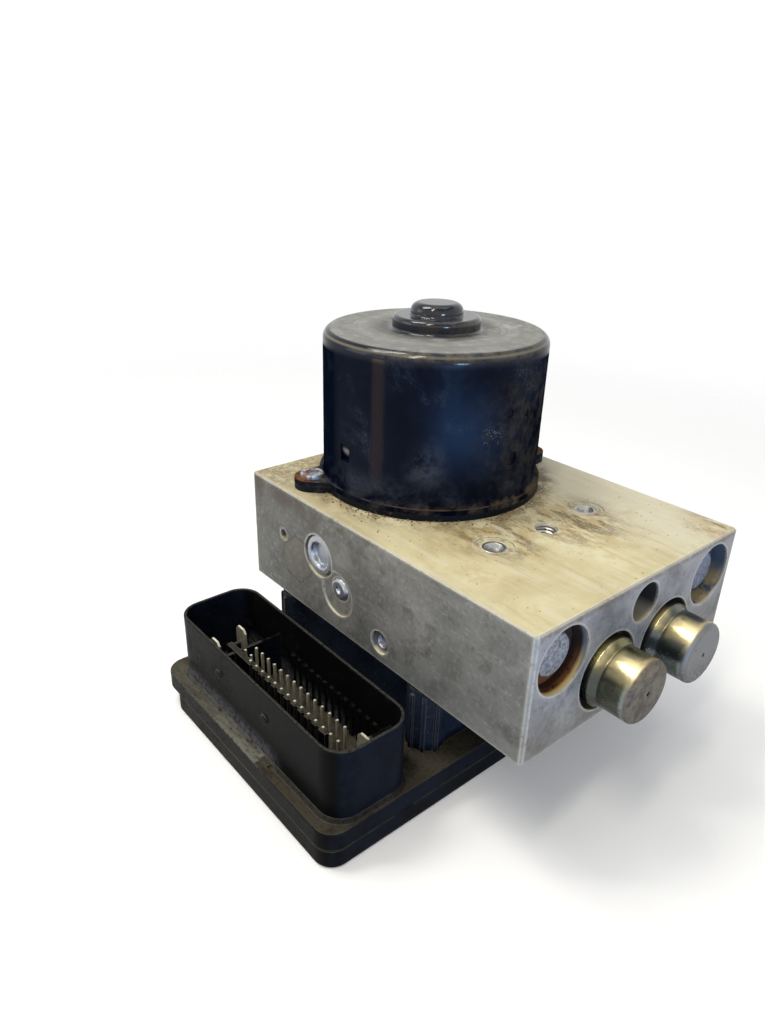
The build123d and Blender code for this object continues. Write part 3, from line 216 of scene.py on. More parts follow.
class Finish:
    """One procedural material under construction: its nodes are added by short calls that return sockets."""

    def __init__(self, name):
        self.material = bpy.data.materials.new(name)
        self.material.use_nodes = True
        self.tree = self.material.node_tree
        self.shader = self.tree.nodes["Principled BSDF"]
        self.coordinates = self.tree.nodes.new("ShaderNodeTexCoord")
        self.place = self.coordinates.outputs["Object"]
        self.facing = self.coordinates.outputs["Normal"]

    def feed(self, socket, value):
        """Link a socket to an input, or set the input to a plain value."""
        if isinstance(value, bpy.types.NodeSocket):
            self.tree.links.new(value, socket)
        elif hasattr(value, "__len__") and len(value) == 3 and socket.type == "RGBA":
            socket.default_value = (*value, 1.0)
        else:
            socket.default_value = value

    def add(self, kind, output, settings=None, **inputs):
        """Add a node, set its settings and inputs, and return one of its outputs."""
        node = self.tree.nodes.new(kind)
        for key, value in (settings or {}).items():
            setattr(node, key, value)
        for key, value in inputs.items():
            self.feed(node.inputs[key.replace("_", " ")], value)
        return node.outputs[output]

    def maths(self, operation, first, second=0.0, clamp=False):
        """A number made from two others."""
        node = self.tree.nodes.new("ShaderNodeMath")
        node.operation = operation
        node.use_clamp = clamp
        self.feed(node.inputs[0], first)
        self.feed(node.inputs[1], second)
        return node.outputs[0]

    def times(self, *values):
        """The product of several masks."""
        product = values[0]
        for value in values[1:]:
            product = self.maths("MULTIPLY", product, value)
        return product

    def either(self, *values):
        """The strongest of several masks."""
        strongest = values[0]
        for value in values[1:]:
            strongest = self.maths("MAXIMUM", strongest, value)
        return strongest

    def inverse(self, value):
        """One less a mask."""
        return self.maths("SUBTRACT", 1.0, value, clamp=True)

    def mix(self, mask, under, over):
        """A colour laid over another where the mask is."""
        node = self.tree.nodes.new("ShaderNodeMix")
        node.data_type = "RGBA"
        self.feed(node.inputs["Factor"], mask)
        self.feed(node.inputs[6], under)
        self.feed(node.inputs[7], over)
        return node.outputs[2]

    def over(self, colour, tone, *masks):
        """A tone laid over a colour where all the masks are; a plain number among them is its share."""
        return self.mix(self.times(*masks), colour, tone)

    def layers(self, colour, *coats):
        """Coats laid over a colour in order: each is a tone and its masks."""
        for tone, *masks in coats:
            colour = self.over(colour, tone, *masks)
        return colour

    def blend(self, mask, under, over):
        """A number that goes from one value to another with the mask."""
        node = self.tree.nodes.new("ShaderNodeMix")
        self.feed(node.inputs["Factor"], mask)
        self.feed(node.inputs[2], under)
        self.feed(node.inputs[3], over)
        return node.outputs[0]

    def rise(self, value, low, high):
        """Zero below low, one above high and smooth between them; high may be the lower one."""
        node = self.tree.nodes.new("ShaderNodeMapRange")
        node.interpolation_type = "SMOOTHSTEP"
        flipped = low > high
        self.feed(node.inputs["Value"], value)
        self.feed(node.inputs["From Min"], min(low, high))
        self.feed(node.inputs["From Max"], max(low, high))
        self.feed(node.inputs["To Min"], 1.0 if flipped else 0.0)
        self.feed(node.inputs["To Max"], 0.0 if flipped else 1.0)
        return node.outputs["Result"]

    def along(self, axis, vector=None):
        """One coordinate of the place on the object, or of another vector."""
        node = self.tree.nodes.new("ShaderNodeSeparateXYZ")
        self.feed(node.inputs[0], vector or self.place)
        return node.outputs["XYZ".index(axis)]

    def toward(self, axis, sign=1):
        """Mask of the faces that look along an axis."""
        value = self.along(axis, self.facing)
        return self.rise(self.maths("MULTIPLY", value, float(sign)), 0.6, 0.85)

    def stretch(self, x, y, z, turn=0.0):
        """The place on the object, scaled and turned about Z, for a grain that runs one way."""
        return self.add(
            "ShaderNodeMapping", "Vector", Vector=self.place, Scale=(x, y, z), Rotation=(0, 0, turn)
        )

    def shifted(self, offset):
        """The place on the object, measured from another point."""
        vector = self.add("ShaderNodeVectorMath", "Vector", {"operation": "SUBTRACT"}, Vector=self.place)
        vector.node.inputs[1].default_value = offset
        return vector

    def noise(self, size, detail=4.0, roughness=0.6, vector=None, distortion=0.0):
        """Cloudy noise whose blotches are about the given size across."""
        return self.add(
            "ShaderNodeTexNoise",
            "Fac",
            Vector=vector or self.place,
            Scale=1.0 / size,
            Detail=detail,
            Roughness=roughness,
            Distortion=distortion,
        )

    def cells(self, size, feature="F1", output="Distance", vector=None, randomness=1.0):
        """Cells about the given size across."""
        return self.add(
            "ShaderNodeTexVoronoi",
            output,
            {"feature": feature},
            Vector=vector or self.place,
            Scale=1.0 / size,
            Randomness=randomness,
        )

    def wave(self, form, direction, scale, vector=None, distortion=0.0):
        """Even bands across an axis or rings round it."""
        turned = "bands_direction" if form == "BANDS" else "rings_direction"
        return self.add(
            "ShaderNodeTexWave",
            "Fac",
            {"wave_type": form, turned: direction},
            Vector=vector or self.place,
            Scale=scale,
            Distortion=distortion,
        )

    def specks(self, size, share):
        """Small separate dots: the share is how much of each cell a dot fills."""
        return self.rise(self.cells(size), share, share * 0.6)

    def distance(self, point, flatten=None):
        """Distance from a point, or from a line along an axis through it."""
        vector = self.place
        centre = list(point)
        if flatten is not None:
            scale = [1.0, 1.0, 1.0]
            scale["XYZ".index(flatten)] = 0.0
            centre["XYZ".index(flatten)] = 0.0
            vector = self.add("ShaderNodeVectorMath", "Vector", {"operation": "MULTIPLY"}, Vector=self.place)
            vector.node.inputs[1].default_value = scale
        node = self.tree.nodes.new("ShaderNodeVectorMath")
        node.operation = "DISTANCE"
        self.feed(node.inputs[0], vector)
        node.inputs[1].default_value = centre
        return node.outputs["Value"]

    def near(self, point, radius, soft, flatten=None, ragged=0.0):
        """Mask inside a radius round a point or line, with a soft and, if wanted, ragged edge."""
        reach = self.distance(point, flatten)
        if ragged:
            wobble = self.maths("SUBTRACT", self.noise(ragged * 3, 3.0), 0.5)
            reach = self.maths("ADD", reach, self.maths("MULTIPLY", wobble, ragged * 2))
        return self.rise(reach, radius + soft, radius - soft)

    def seen_directly(self):
        """One where a camera, mirror or glass ray meets the surface."""
        path = self.tree.nodes.new("ShaderNodeLightPath")
        return self.either(
            path.outputs["Is Camera Ray"], path.outputs["Is Glossy Ray"], path.outputs["Is Transmission Ray"]
        )

    def hollows(self, reach):
        """Mask of the corners and crevices, where dirt gathers and shade falls."""
        shade = self.add("ShaderNodeAmbientOcclusion", "AO", {"samples": 6}, Distance=reach)
        return self.rise(shade, 0.85, 0.35)

    def edges(self, radius):
        """Mask of the edges that wear bright and carry a painted highlight."""
        soft = self.add("ShaderNodeBevel", "Normal", {"samples": 4}, Radius=radius)
        node = self.tree.nodes.new("ShaderNodeVectorMath")
        node.operation = "DOT_PRODUCT"
        self.feed(node.inputs[0], soft)
        geometry = self.tree.nodes.new("ShaderNodeNewGeometry")
        self.feed(node.inputs[1], geometry.outputs["Normal"])
        return self.rise(node.outputs["Value"], 0.985, 0.90)

    def relief(self, height, depth, under=None):
        """Bump of the given depth, in metres, laid over another bump."""
        node = self.tree.nodes.new("ShaderNodeBump")
        node.inputs["Distance"].default_value = depth
        self.feed(node.inputs["Height"], height)
        if under is not None:
            self.feed(node.inputs["Normal"], under)
        return node.outputs["Normal"]

    def done(self, colour, roughness, metallic=0.0, normal=None, **constants):
        """Wire up the shader and return the material."""
        self.feed(self.shader.inputs["Base Color"], colour)
        self.feed(self.shader.inputs["Roughness"], roughness)
        self.feed(self.shader.inputs["Metallic"], metallic)
        if normal is not None:
            self.feed(self.shader.inputs["Normal"], normal)
        for key, value in constants.items():
            self.feed(self.shader.inputs[key.replace("_", " ")], value)
        return self.material


# ======== Finishes

# ---- Tones of the motor's can, as linear light
SHEEN_BLUE = (0.013, 0.032, 0.076)
LACQUER_HAZE_AND_REFLECTION = (0.105, 0.118, 0.140)
CAN_SIDE_DUST_AND_REFLECTION = (0.060, 0.047, 0.034)
CHIP_BLUE = (0.22, 0.27, 0.36)
SHOULDER_DUST = (0.13, 0.105, 0.075)
TOP_DUST_DARK = (0.190, 0.193, 0.180)
TOP_DUST_PALE = (0.275, 0.277, 0.255)
ARC_BROWN = (0.105, 0.094, 0.072)
CROWN_STAIN = (0.052, 0.043, 0.032)
WIPED_DUST = (0.46, 0.44, 0.36)
LIP_HIGHLIGHT = (0.215, 0.185, 0.120)
FOOT_DIRT = (0.120, 0.085, 0.048)
EAR_DARK = (0.030, 0.030, 0.034)
EAR_DIRT = (0.125, 0.108, 0.070)
FLANGE_GREY = (0.040, 0.045, 0.055)
FLANGE_BROWN = (0.105, 0.070, 0.042)
SLOT_GREY = (0.26, 0.25, 0.28)

# ---- Tones of the valve block
SIDE_DARK = (0.124, 0.129, 0.122)
SIDE_PALE = (0.236, 0.243, 0.229)
SIDE_BLOTCH = (0.088, 0.088, 0.078)
SIDE_STREAK = (0.30, 0.30, 0.285)
FAR_END_DARKENING = (0.078, 0.080, 0.072)
SIDE_BRIGHT_SPECK = (0.36, 0.365, 0.35)
SIDE_PIT = (0.066, 0.060, 0.048)
SIDE_GRIME = (0.072, 0.062, 0.044)
OIL_RUN = (0.145, 0.130, 0.095)
OIL_RUN_EDGE = (0.060, 0.050, 0.034)
NOSE_DARK = (0.165, 0.160, 0.165)
NOSE_PALE = (0.325, 0.322, 0.335)
NOSE_BLOTCH = (0.098, 0.092, 0.088)
NOSE_BRIGHT = (0.375, 0.365, 0.385)
NOSE_DUST = (0.255, 0.225, 0.150)
NOSE_PIT = (0.060, 0.054, 0.048)
CREAM_DARK = (0.50, 0.425, 0.235)
CREAM_PALE = (0.68, 0.62, 0.39)
FAR_SIDE_LIT_CREAM = (0.62, 0.585, 0.47)
PALE_STREAK = (0.68, 0.65, 0.52)
BROWN_STREAK = (0.36, 0.285, 0.145)
CUTTER_GROOVE = (0.26, 0.235, 0.165)
OCHRE_STAIN = (0.40, 0.265, 0.095)
DARK_DIRT = (0.075, 0.055, 0.034)
DIRT_DOT = (0.10, 0.075, 0.045)
RIM_RUST = (0.175, 0.105, 0.045)
WELL_BLACK = (0.014, 0.009, 0.008)
WELL_BROWN = (0.050, 0.018, 0.008)
WELL_ORANGE = (0.30, 0.115, 0.030)
WELL_SPECK = (0.030, 0.013, 0.008)
WELL_LIP_STEEL = (0.175, 0.190, 0.225)
WELL_LIP_GOLD_HIGHLIGHT = (0.78, 0.55, 0.22)
BACK_WELL_BLUE_REFLECTION = (0.080, 0.110, 0.175)
BACK_WELL_LIT_GOLD = (0.56, 0.42, 0.20)
BUSH_SHADE = (0.030, 0.027, 0.026)
BUSH_LIT_SAND = (0.44, 0.38, 0.26)
POCKET_DIRT_AND_SHADE = (0.050, 0.042, 0.032)

# ---- Tones of the accumulators' caps
CAP_OLIVE = (0.085, 0.078, 0.055)
CAP_LIT_BRASS = (0.30, 0.25, 0.120)
CAP_GOLD_HIGHLIGHT = (0.95, 0.80, 0.42)
CAP_GREEN = (0.20, 0.30, 0.10)
CAP_VIOLET = (0.26, 0.16, 0.26)
CAP_FOOT_GREY = (0.060, 0.068, 0.068)
CAP_SILVER = (0.120, 0.140, 0.150)
CAP_END_PALE = (0.165, 0.145, 0.122)
CAP_END_DARK = (0.060, 0.046, 0.036)
BACK_CAP_END = (0.20, 0.205, 0.215)
CAP_RING_PALE_HIGHLIGHT = (0.36, 0.43, 0.43)
CAP_RING_GOLD_HIGHLIGHT = (0.80, 0.64, 0.34)
CAP_GRIT = (0.042, 0.037, 0.030)
CAP_BARE_METAL = (0.42, 0.44, 0.46)

# ---- Tones of the recessed plugs
PLUG_GREY_DARK = (0.175, 0.172, 0.185)
PLUG_GREY_PALE = (0.42, 0.42, 0.45)
PLUG_BROWN = (0.12, 0.095, 0.075)
PLUG_BLUE_REFLECTION_DARK = (0.085, 0.105, 0.155)
PLUG_BLUE_REFLECTION_PALE = (0.26, 0.30, 0.38)
PLUG_RIM_BLACK = (0.026, 0.013, 0.009)
PLUG_RIM_RUST = (0.11, 0.04, 0.016)
PLUG_RIM_BLUE_REFLECTION = (0.085, 0.10, 0.13)

# ---- Tones of the control unit
PLASTIC_BLUE_LIGHT = (0.0055, 0.0090, 0.0180)
COLUMN_BLUE_REFLECTION = (0.024, 0.036, 0.060)
COLUMN_SPECK = (0.085, 0.095, 0.110)
PLASTIC_FILM = (0.044, 0.041, 0.036)
LEDGE_DUST = (0.066, 0.058, 0.042)
RIM_DUST = (0.075, 0.072, 0.062)
SCUFF_GREY = (0.085, 0.086, 0.088)
CRUMB_GREY = (0.125, 0.130, 0.145)
STRIP_DUST = (0.185, 0.180, 0.150)
CORNER_DIRT = (0.060, 0.048, 0.032)
EDGE_WORN_AND_LIT = (0.135, 0.125, 0.105)
RESIST_DARK = (0.012, 0.075, 0.03)
RESIST_PALE = (0.03, 0.16, 0.07)
PAD_TIN = (0.55, 0.53, 0.50)


def shaded(tone, share):
    """A tone made darker or paler."""
    return [share * part for part in tone]


def black_lacquer(colours):
    """Glossy blue-black lacquer: dust on what faces up, haze and chips on the wall, rust on the ears. The
    haze and the brown dust on the +X side are also painted reflections, a blue patch is a painted sheen and a
    line on the shoulder's lip is a painted highlight.
    """
    finish = Finish("black_lacquer")
    x, y, z = (finish.along(axis) for axis in "XYZ")
    flat = finish.rise(finish.along("Z", finish.facing), 0.90, 0.99)
    reach = finish.distance((0, 0, 0), "Z")
    fine = finish.noise(1.3 * MM, 5.0, 0.72)
    broad = finish.noise(15 * MM, 5.0, 0.65, distortion=0.5)
    mottle = finish.noise(5 * MM, 5.0, 0.7)
    colour = finish.mix(finish.rise(broad, 0.35, 0.7), colours.lacquer, shaded(colours.lacquer, 1.8))

    smudge = finish.near((28 * MM, -28 * MM, WALL_FOOT + 16 * MM), 7 * MM, 5 * MM, ragged=11 * MM)
    low_haze = finish.times(finish.rise(z, WALL_FOOT + 14 * MM, WALL_FOOT), finish.rise(broad, 0.42, 0.62))
    veil = finish.times(finish.rise(broad, 0.50, 0.72), finish.rise(fine, 0.30, 0.70))
    # A painted patch of blue that stands for a mirrored window
    sheen = finish.near((36 * MM, -18 * MM, WALL_FOOT + 26 * MM), 9 * MM, 13 * MM, ragged=7 * MM)
    colour = finish.over(colour, SHEEN_BLUE, sheen, 0.75)
    # A dust haze on the wall that is also a painted bluish reflection
    haze_and_reflection = finish.either(
        finish.times(smudge, finish.rise(mottle, 0.34, 0.60), 0.40),
        finish.times(low_haze, 0.24),
        finish.times(veil, 0.16),
    )
    colour = finish.over(colour, LACQUER_HAZE_AND_REFLECTION, haze_and_reflection, finish.rise(fine, 0.20, 0.55))
    # Brown dust on the +X side of the wall that is also a painted warm reflection
    side_dust_and_reflection = finish.near((CAN_RADIUS, 12 * MM, WALL_FOOT + 24 * MM), 22 * MM, 12 * MM, ragged=9 * MM)
    side_dust_and_reflection = finish.times(side_dust_and_reflection, finish.rise(mottle, 0.36, 0.66))
    colour = finish.over(colour, CAN_SIDE_DUST_AND_REFLECTION, side_dust_and_reflection, 0.55)
    field = finish.near((38 * MM, -9 * MM, WALL_FOOT + 25 * MM), 3.6 * MM, 3.0 * MM, ragged=4 * MM)
    strays = finish.times(finish.rise(broad, 0.55, 0.75), 0.30)
    chips = finish.times(
        finish.either(field, strays), finish.specks(0.75 * MM, 0.34), finish.rise(mottle, 0.40, 0.55)
    )
    colour = finish.over(colour, CHIP_BLUE, chips, 0.8)

    shoulder = finish.times(
        finish.rise(z, CAN_TOP - 3.5 * MM, CAN_TOP - 1.5 * MM),
        finish.rise(x, 0, 30 * MM),
        finish.rise(mottle, 0.35, 0.6),
    )
    colour = finish.over(colour, SHOULDER_DUST, shoulder, 0.5)
    top_dust = finish.times(
        flat,
        finish.rise(z, CAN_TOP - 6 * MM, CAN_TOP - 4 * MM),
        finish.blend(finish.rise(reach, 14 * MM, 20 * MM), 0.10, 0.92),
    )
    dust_tone = finish.mix(finish.rise(mottle, 0.36, 0.64), TOP_DUST_DARK, TOP_DUST_PALE)
    rings = finish.add(
        "ShaderNodeCombineXYZ", "Vector", X=finish.times(reach, CAN_RINGS), Y=finish.times(broad, 3.0)
    )
    arcs = finish.times(
        finish.rise(finish.noise(1.0, 3.0, 0.6, vector=rings), 0.52, 0.66), finish.rise(mottle, 0.36, 0.60)
    )
    dust_tone = finish.over(dust_tone, ARC_BROWN, arcs, 0.55)
    crown_stain = finish.times(finish.rise(reach, 27 * MM, 17 * MM), finish.rise(broad, 0.30, 0.56))
    dust_tone = finish.over(dust_tone, CROWN_STAIN, crown_stain, 0.85)
    wipe = finish.near((14 * MM, 26 * MM, CAN_TOP), 6 * MM, 4 * MM, ragged=6 * MM)
    dust_tone = finish.over(dust_tone, WIPED_DUST, wipe, finish.rise(mottle, 0.46, 0.58), 0.7)
    colour = finish.over(colour, dust_tone, top_dust)
    # A painted warm highlight along the lip of the shoulder, broken in patches
    lit_lip = finish.times(
        finish.rise(z, CAN_TOP - 1.9 * MM, CAN_TOP - 1.5 * MM),
        finish.rise(z, CAN_TOP - 0.8 * MM, CAN_TOP - 1.2 * MM),
    )
    lit_lip = finish.times(
        lit_lip, finish.rise(reach, CAN_RADIUS - 5 * MM, CAN_RADIUS - 4 * MM), finish.rise(broad, 0.30, 0.46)
    )
    colour = finish.over(colour, LIP_HIGHLIGHT, lit_lip, 0.55)

    foot = finish.rise(z, WALL_FOOT + 2.4 * MM, WALL_FOOT + 0.4 * MM)
    foot_dirt = finish.times(
        foot, finish.blend(finish.rise(x, 8 * MM, 34 * MM), 0.10, 0.7), finish.rise(broad, 0.40, 0.60)
    )
    colour = finish.over(colour, FOOT_DIRT, foot_dirt)
    ears = finish.times(flat, finish.rise(reach, CAN_FLANGE_RADIUS - 0.5 * MM, CAN_FLANGE_RADIUS + 1.5 * MM))
    ear_tone = finish.mix(finish.rise(mottle, 0.38, 0.60), EAR_DARK, EAR_DIRT)
    ear_tone = finish.over(
        ear_tone, colours.rust, finish.rise(reach, 46 * MM, 49 * MM), finish.rise(fine, 0.40, 0.58)
    )
    colour = finish.over(colour, ear_tone, ears, 0.9)

    # Glossy toward the camera and straight opposite, dull on the two flanks between
    along_x, along_y = (share / CAN_RADIUS for share in CAMERA_SIDE)
    turn = finish.maths("ADD", finish.times(x, along_x), finish.times(y, along_y))
    wall = finish.rise(z, CAN_TOP - 1.5 * MM, CAN_TOP - 5.5 * MM)
    dulled = finish.rise(finish.maths("ABSOLUTE", turn), 0.88, 0.52)
    hem = finish.rise(z, WALL_FOOT + 3.0 * MM, WALL_FOOT + 1.0 * MM)
    shine = finish.blend(finish.either(dulled, hem), 0.048, 0.0)
    crown = finish.rise(reach, CAN_RADIUS - 7 * MM, CAN_RADIUS - 13 * MM)
    upper_shine = finish.blend(crown, finish.blend(dulled, 0.34, 0.12), 0.55)
    shine = finish.blend(wall, upper_shine, shine)
    flange_top = finish.times(
        flat, finish.rise(z, WALL_FOOT + 3 * MM, WALL_FOOT + 1 * MM), finish.inverse(ears)
    )
    flange_tone = finish.mix(finish.rise(x, 0, 34 * MM), FLANGE_GREY, FLANGE_BROWN)
    colour = finish.over(colour, flange_tone, flange_top, finish.rise(mottle, 0.32, 0.56), 0.75)
    slot = finish.near((-0.4 * MM, -CAN_RADIUS, WALL_FOOT + 15.2 * MM), 2.0 * MM, 1.2 * MM)
    slot = finish.times(
        slot,
        finish.rise(reach, CAN_RADIUS - 0.35 * MM, CAN_RADIUS - 0.8 * MM),
        finish.rise(fine, 0.25, 0.45),
    )
    colour = finish.over(colour, SLOT_GREY, slot, 0.8)

    dull = finish.either(haze_and_reflection, finish.times(side_dust_and_reflection, 0.7), top_dust, foot_dirt, chips, ears)
    normal = finish.relief(finish.noise(1.6 * MM, 2.0), 0.020 * MM)
    normal = finish.relief(finish.either(chips, foot_dirt), 0.05 * MM, normal)
    normal = finish.relief(finish.times(finish.either(top_dust, ears), fine), 0.05 * MM, normal)
    finish.feed(finish.shader.inputs["Specular IOR Level"], shine)
    return finish.done(colour, finish.blend(dull, 0.13, 0.62), 0.0, normal)


def machined_aluminium(colours):
    """Aluminium with a cream stained top, grey greenish sides, dirt round the motor and rust in the wells.
    The top is paler towards +Y in painted light, the edges carry a painted highlight, and the bores hold
    painted shade, highlights and a blue reflection.
    """
    finish = Finish("machined_aluminium")
    x, y, z = (finish.along(axis) for axis in "XYZ")
    top, nose, front = finish.toward("Z"), finish.toward("X"), finish.toward("Y", -1)
    reach = finish.distance((0, 0, 0), "Z")
    clouds = finish.noise(30 * MM, 6.0, 0.62, distortion=0.4)
    blotches = finish.noise(8 * MM, 6.0, 0.70)
    specks = finish.noise(1.7 * MM, 5.0, 0.75)
    grain = finish.noise(0.7 * MM, 3.0, 0.7)
    streaks = finish.noise(1.0, 5.0, 0.62, vector=finish.stretch(38, 300, 300, radians(-8)))

    sides = finish.mix(finish.rise(clouds, 0.32, 0.70), SIDE_DARK, SIDE_PALE)
    sides = finish.layers(
        sides,
        (SIDE_BLOTCH, finish.rise(blotches, 0.48, 0.66), 0.62),
        (SIDE_STREAK, finish.rise(streaks, 0.54, 0.68), 0.30),
        # The sides darker towards the -X end
        (FAR_END_DARKENING, finish.rise(x, 20 * MM, -36 * MM), 0.60),
        (SIDE_BRIGHT_SPECK, finish.rise(specks, 0.46, 0.36), 0.35),
        (SIDE_PIT, finish.rise(specks, 0.57, 0.70), 0.60),
    )
    grime = finish.times(
        finish.rise(z, BLOCK_HIGH.z - 15 * MM, BLOCK_HIGH.z - 2 * MM), finish.rise(x, 62 * MM, 10 * MM)
    )
    grime = finish.times(grime, finish.rise(blotches, 0.36, 0.56))
    sides = finish.over(sides, SIDE_GRIME, grime, 0.80)
    run = (PUMP_PLUG.x - 13 * MM, 0, PUMP_PLUG.z - 8 * MM)
    run_inside = finish.near(run, 7.6 * MM, 0.4 * MM, "Y", ragged=9 * MM)
    run_edge = finish.maths(
        "SUBTRACT", finish.near(run, 8.4 * MM, 0.4 * MM, "Y", ragged=9 * MM), run_inside, clamp=True
    )
    sides = finish.layers(
        sides,
        (OIL_RUN, front, run_inside, 0.35),
        (OIL_RUN_EDGE, front, run_edge, 0.55),
    )

    nose_tone = finish.mix(finish.rise(clouds, 0.34, 0.64), NOSE_DARK, NOSE_PALE)
    nose_tone = finish.over(nose_tone, NOSE_BLOTCH, finish.rise(blotches, 0.46, 0.66), 0.60)
    nose_high = finish.rise(z, BLOCK_LOW.z + 16 * MM, BLOCK_HIGH.z - 4 * MM)
    nose_tone = finish.over(nose_tone, NOSE_BRIGHT, nose_high, finish.rise(clouds, 0.34, 0.58), 0.75)
    nose_low = finish.times(
        finish.rise(z, BLOCK_LOW.z + 22 * MM, BLOCK_LOW.z + 4 * MM), finish.rise(specks, 0.38, 0.60)
    )
    nose_tone = finish.layers(
        nose_tone,
        (NOSE_DUST, nose_low, 0.5),
        (NOSE_PIT, finish.rise(specks, 0.58, 0.68), 0.55),
    )

    cream = finish.mix(finish.rise(clouds, 0.30, 0.70), CREAM_DARK, CREAM_PALE)
    # Painted light: the top is paler towards its +Y side
    lit_far_side = finish.rise(y, 8 * MM, 34 * MM)
    cream = finish.layers(
        cream,
        (FAR_SIDE_LIT_CREAM, lit_far_side, 0.6),
        (PALE_STREAK, finish.rise(streaks, 0.50, 0.68), 0.35),
        (BROWN_STREAK, finish.rise(streaks, 0.46, 0.34), 0.30),
    )
    cutter = [
        finish.wave("RINGS", "Z", CUTTER_RINGS, finish.shifted((side * 70 * MM, 20 * MM, 0)))
        for side in (-1, 1)
    ]
    hatch = finish.times(
        finish.rise(y, -34 * MM, -42 * MM),
        finish.rise(x, 34 * MM, 16 * MM),
        finish.rise(blotches, 0.3, 0.5),
    )
    crossing = finish.maths("ABSOLUTE", finish.maths("SUBTRACT", cutter[0], cutter[1]))
    cream = finish.over(cream, CUTTER_GROOVE, hatch, crossing, 0.42)
    colour = finish.mix(nose, sides, nose_tone)
    colour = finish.over(colour, cream, top)

    ring = finish.times(finish.rise(reach, 52 * MM, 43 * MM), finish.rise(blotches, 0.36, 0.58))
    tail = finish.times(finish.rise(x, -6 * MM, -30 * MM), finish.rise(specks, 0.30, 0.56), 0.8)
    corner = finish.near((BLOCK_HIGH.x, BLOCK_HIGH.y, BLOCK_HIGH.z), 16 * MM, 10 * MM, ragged=8 * MM)
    smear = finish.noise(1.0, 6.0, 0.72, vector=finish.stretch(70, 190, 190, radians(24)))
    field = finish.either(
        finish.near((60 * MM, 10 * MM, BLOCK_HIGH.z), 17 * MM, 10 * MM, ragged=10 * MM),
        finish.near((52 * MM, -16 * MM, BLOCK_HIGH.z), 15 * MM, 9 * MM, ragged=10 * MM),
        corner,
    )
    patches = finish.times(field, finish.rise(smear, 0.46, 0.58))
    stain = finish.times(
        finish.either(field, finish.times(finish.rise(clouds, 0.52, 0.62), 0.6)),
        finish.rise(blotches, 0.42, 0.60),
        0.62,
    )
    dirt = finish.times(top, finish.either(ring, tail, patches), finish.rise(grain, 0.22, 0.55))
    colour = finish.over(colour, OCHRE_STAIN, top, stain)
    dirt_tone = finish.mix(finish.rise(specks, 0.42, 0.60), colours.dirt, DARK_DIRT)
    colour = finish.over(colour, dirt_tone, dirt, 0.80)
    dots = finish.times(top, finish.specks(2.6 * MM, 0.16), finish.rise(blotches, 0.45, 0.6))
    colour = finish.over(colour, DIRT_DOT, dots, 0.7)

    rim = finish.times(
        nose,
        finish.rise(z, BLOCK_HIGH.z - 3.2 * MM, BLOCK_HIGH.z - 0.6 * MM),
        finish.rise(specks, 0.40, 0.56),
    )
    colour = finish.over(colour, RIM_RUST, rim, 0.75)
    # Bright worn edges that also carry a painted edge highlight
    edge_wear_and_highlight = finish.times(finish.edges(1.6 * MM), finish.rise(specks, 0.34, 0.50))
    colour = finish.over(colour, colours.aluminium, edge_wear_and_highlight, 0.85)

    inside = finish.rise(x, BLOCK_HIGH.x - 0.5 * MM, BLOCK_HIGH.x - 1.2 * MM)
    inside = finish.times(inside, finish.rise(x, RECESS_END, RECESS_END + 2 * MM))
    wells = finish.either(
        *(finish.near((0, side * DAMPER_Y, DAMPER_Z), WELL_RADIUS, 0.3 * MM, "X") for side in (-1, 1))
    )
    well = finish.times(wells, inside)
    mouth = finish.rise(x, BLOCK_HIGH.x - 2.6 * MM, BLOCK_HIGH.x - 1.2 * MM)
    low = finish.rise(z, DAMPER_Z + 1 * MM, DAMPER_Z - 8 * MM)
    # The well's wall is darker towards the top and browner below
    crust = finish.mix(low, WELL_BLACK, WELL_BROWN)
    band = finish.times(
        low,
        finish.rise(x, BLOCK_HIGH.x - 4.4 * MM, BLOCK_HIGH.x - 2.8 * MM),
        finish.rise(blotches, 0.34, 0.56),
    )
    crust = finish.layers(
        crust,
        (WELL_ORANGE, band, 0.75),
        (WELL_SPECK, finish.rise(specks, 0.50, 0.64)),
    )
    # The well's lip: steel grey above and a painted gold highlight below
    lit_lip = finish.mix(low, WELL_LIP_STEEL, WELL_LIP_GOLD_HIGHLIGHT)
    rust_tone = finish.mix(finish.times(mouth, 0.9), crust, lit_lip)
    # A painted blue reflection in the back well, over painted lit gold at its bottom
    back_well_reflection = finish.mix(
        finish.times(low, finish.rise(blotches, 0.34, 0.56)), BACK_WELL_BLUE_REFLECTION, BACK_WELL_LIT_GOLD
    )
    rust_tone = finish.over(rust_tone, back_well_reflection, finish.rise(y, -5 * MM, 5 * MM))
    colour = finish.over(colour, rust_tone, well)
    # Painted light and shade in the bush's bore: shade above, lit sand below
    bush = finish.times(inside, finish.near((0, 0, BUSH_Z), BUSH_RADIUS, 0.2 * MM, "X"))
    bush_light_and_shade = finish.mix(finish.rise(z, BUSH_Z - 2 * MM, BUSH_Z - 6 * MM), BUSH_SHADE, BUSH_LIT_SAND)
    colour = finish.over(colour, bush_light_and_shade, bush)
    # Dirt and painted shade in the hollows of the nose's bores
    pocket_dirt_and_shade = finish.times(inside, finish.hollows(6 * MM), finish.inverse(finish.either(well, bush)))
    colour = finish.over(colour, POCKET_DIRT_AND_SHADE, pocket_dirt_and_shade, 0.7)

    lines = finish.wave("BANDS", "X", MILLED_LINES, finish.stretch(1, 1, 1, radians(35)), distortion=1.2)
    normal = finish.relief(finish.times(lines, top), 0.02 * MM)
    normal = finish.relief(grain, 0.05 * MM, normal)
    normal = finish.relief(finish.either(finish.times(specks, 0.6), dirt), 0.07 * MM, normal)
    roughness = finish.blend(finish.either(dirt, well, bush), finish.blend(grain, 0.44, 0.62), 0.90)
    metallic = finish.blend(finish.either(dirt, well, bush, top), 0.40, 0.05)
    return finish.done(colour, roughness, metallic, normal, Specular_IOR_Level=0.35)


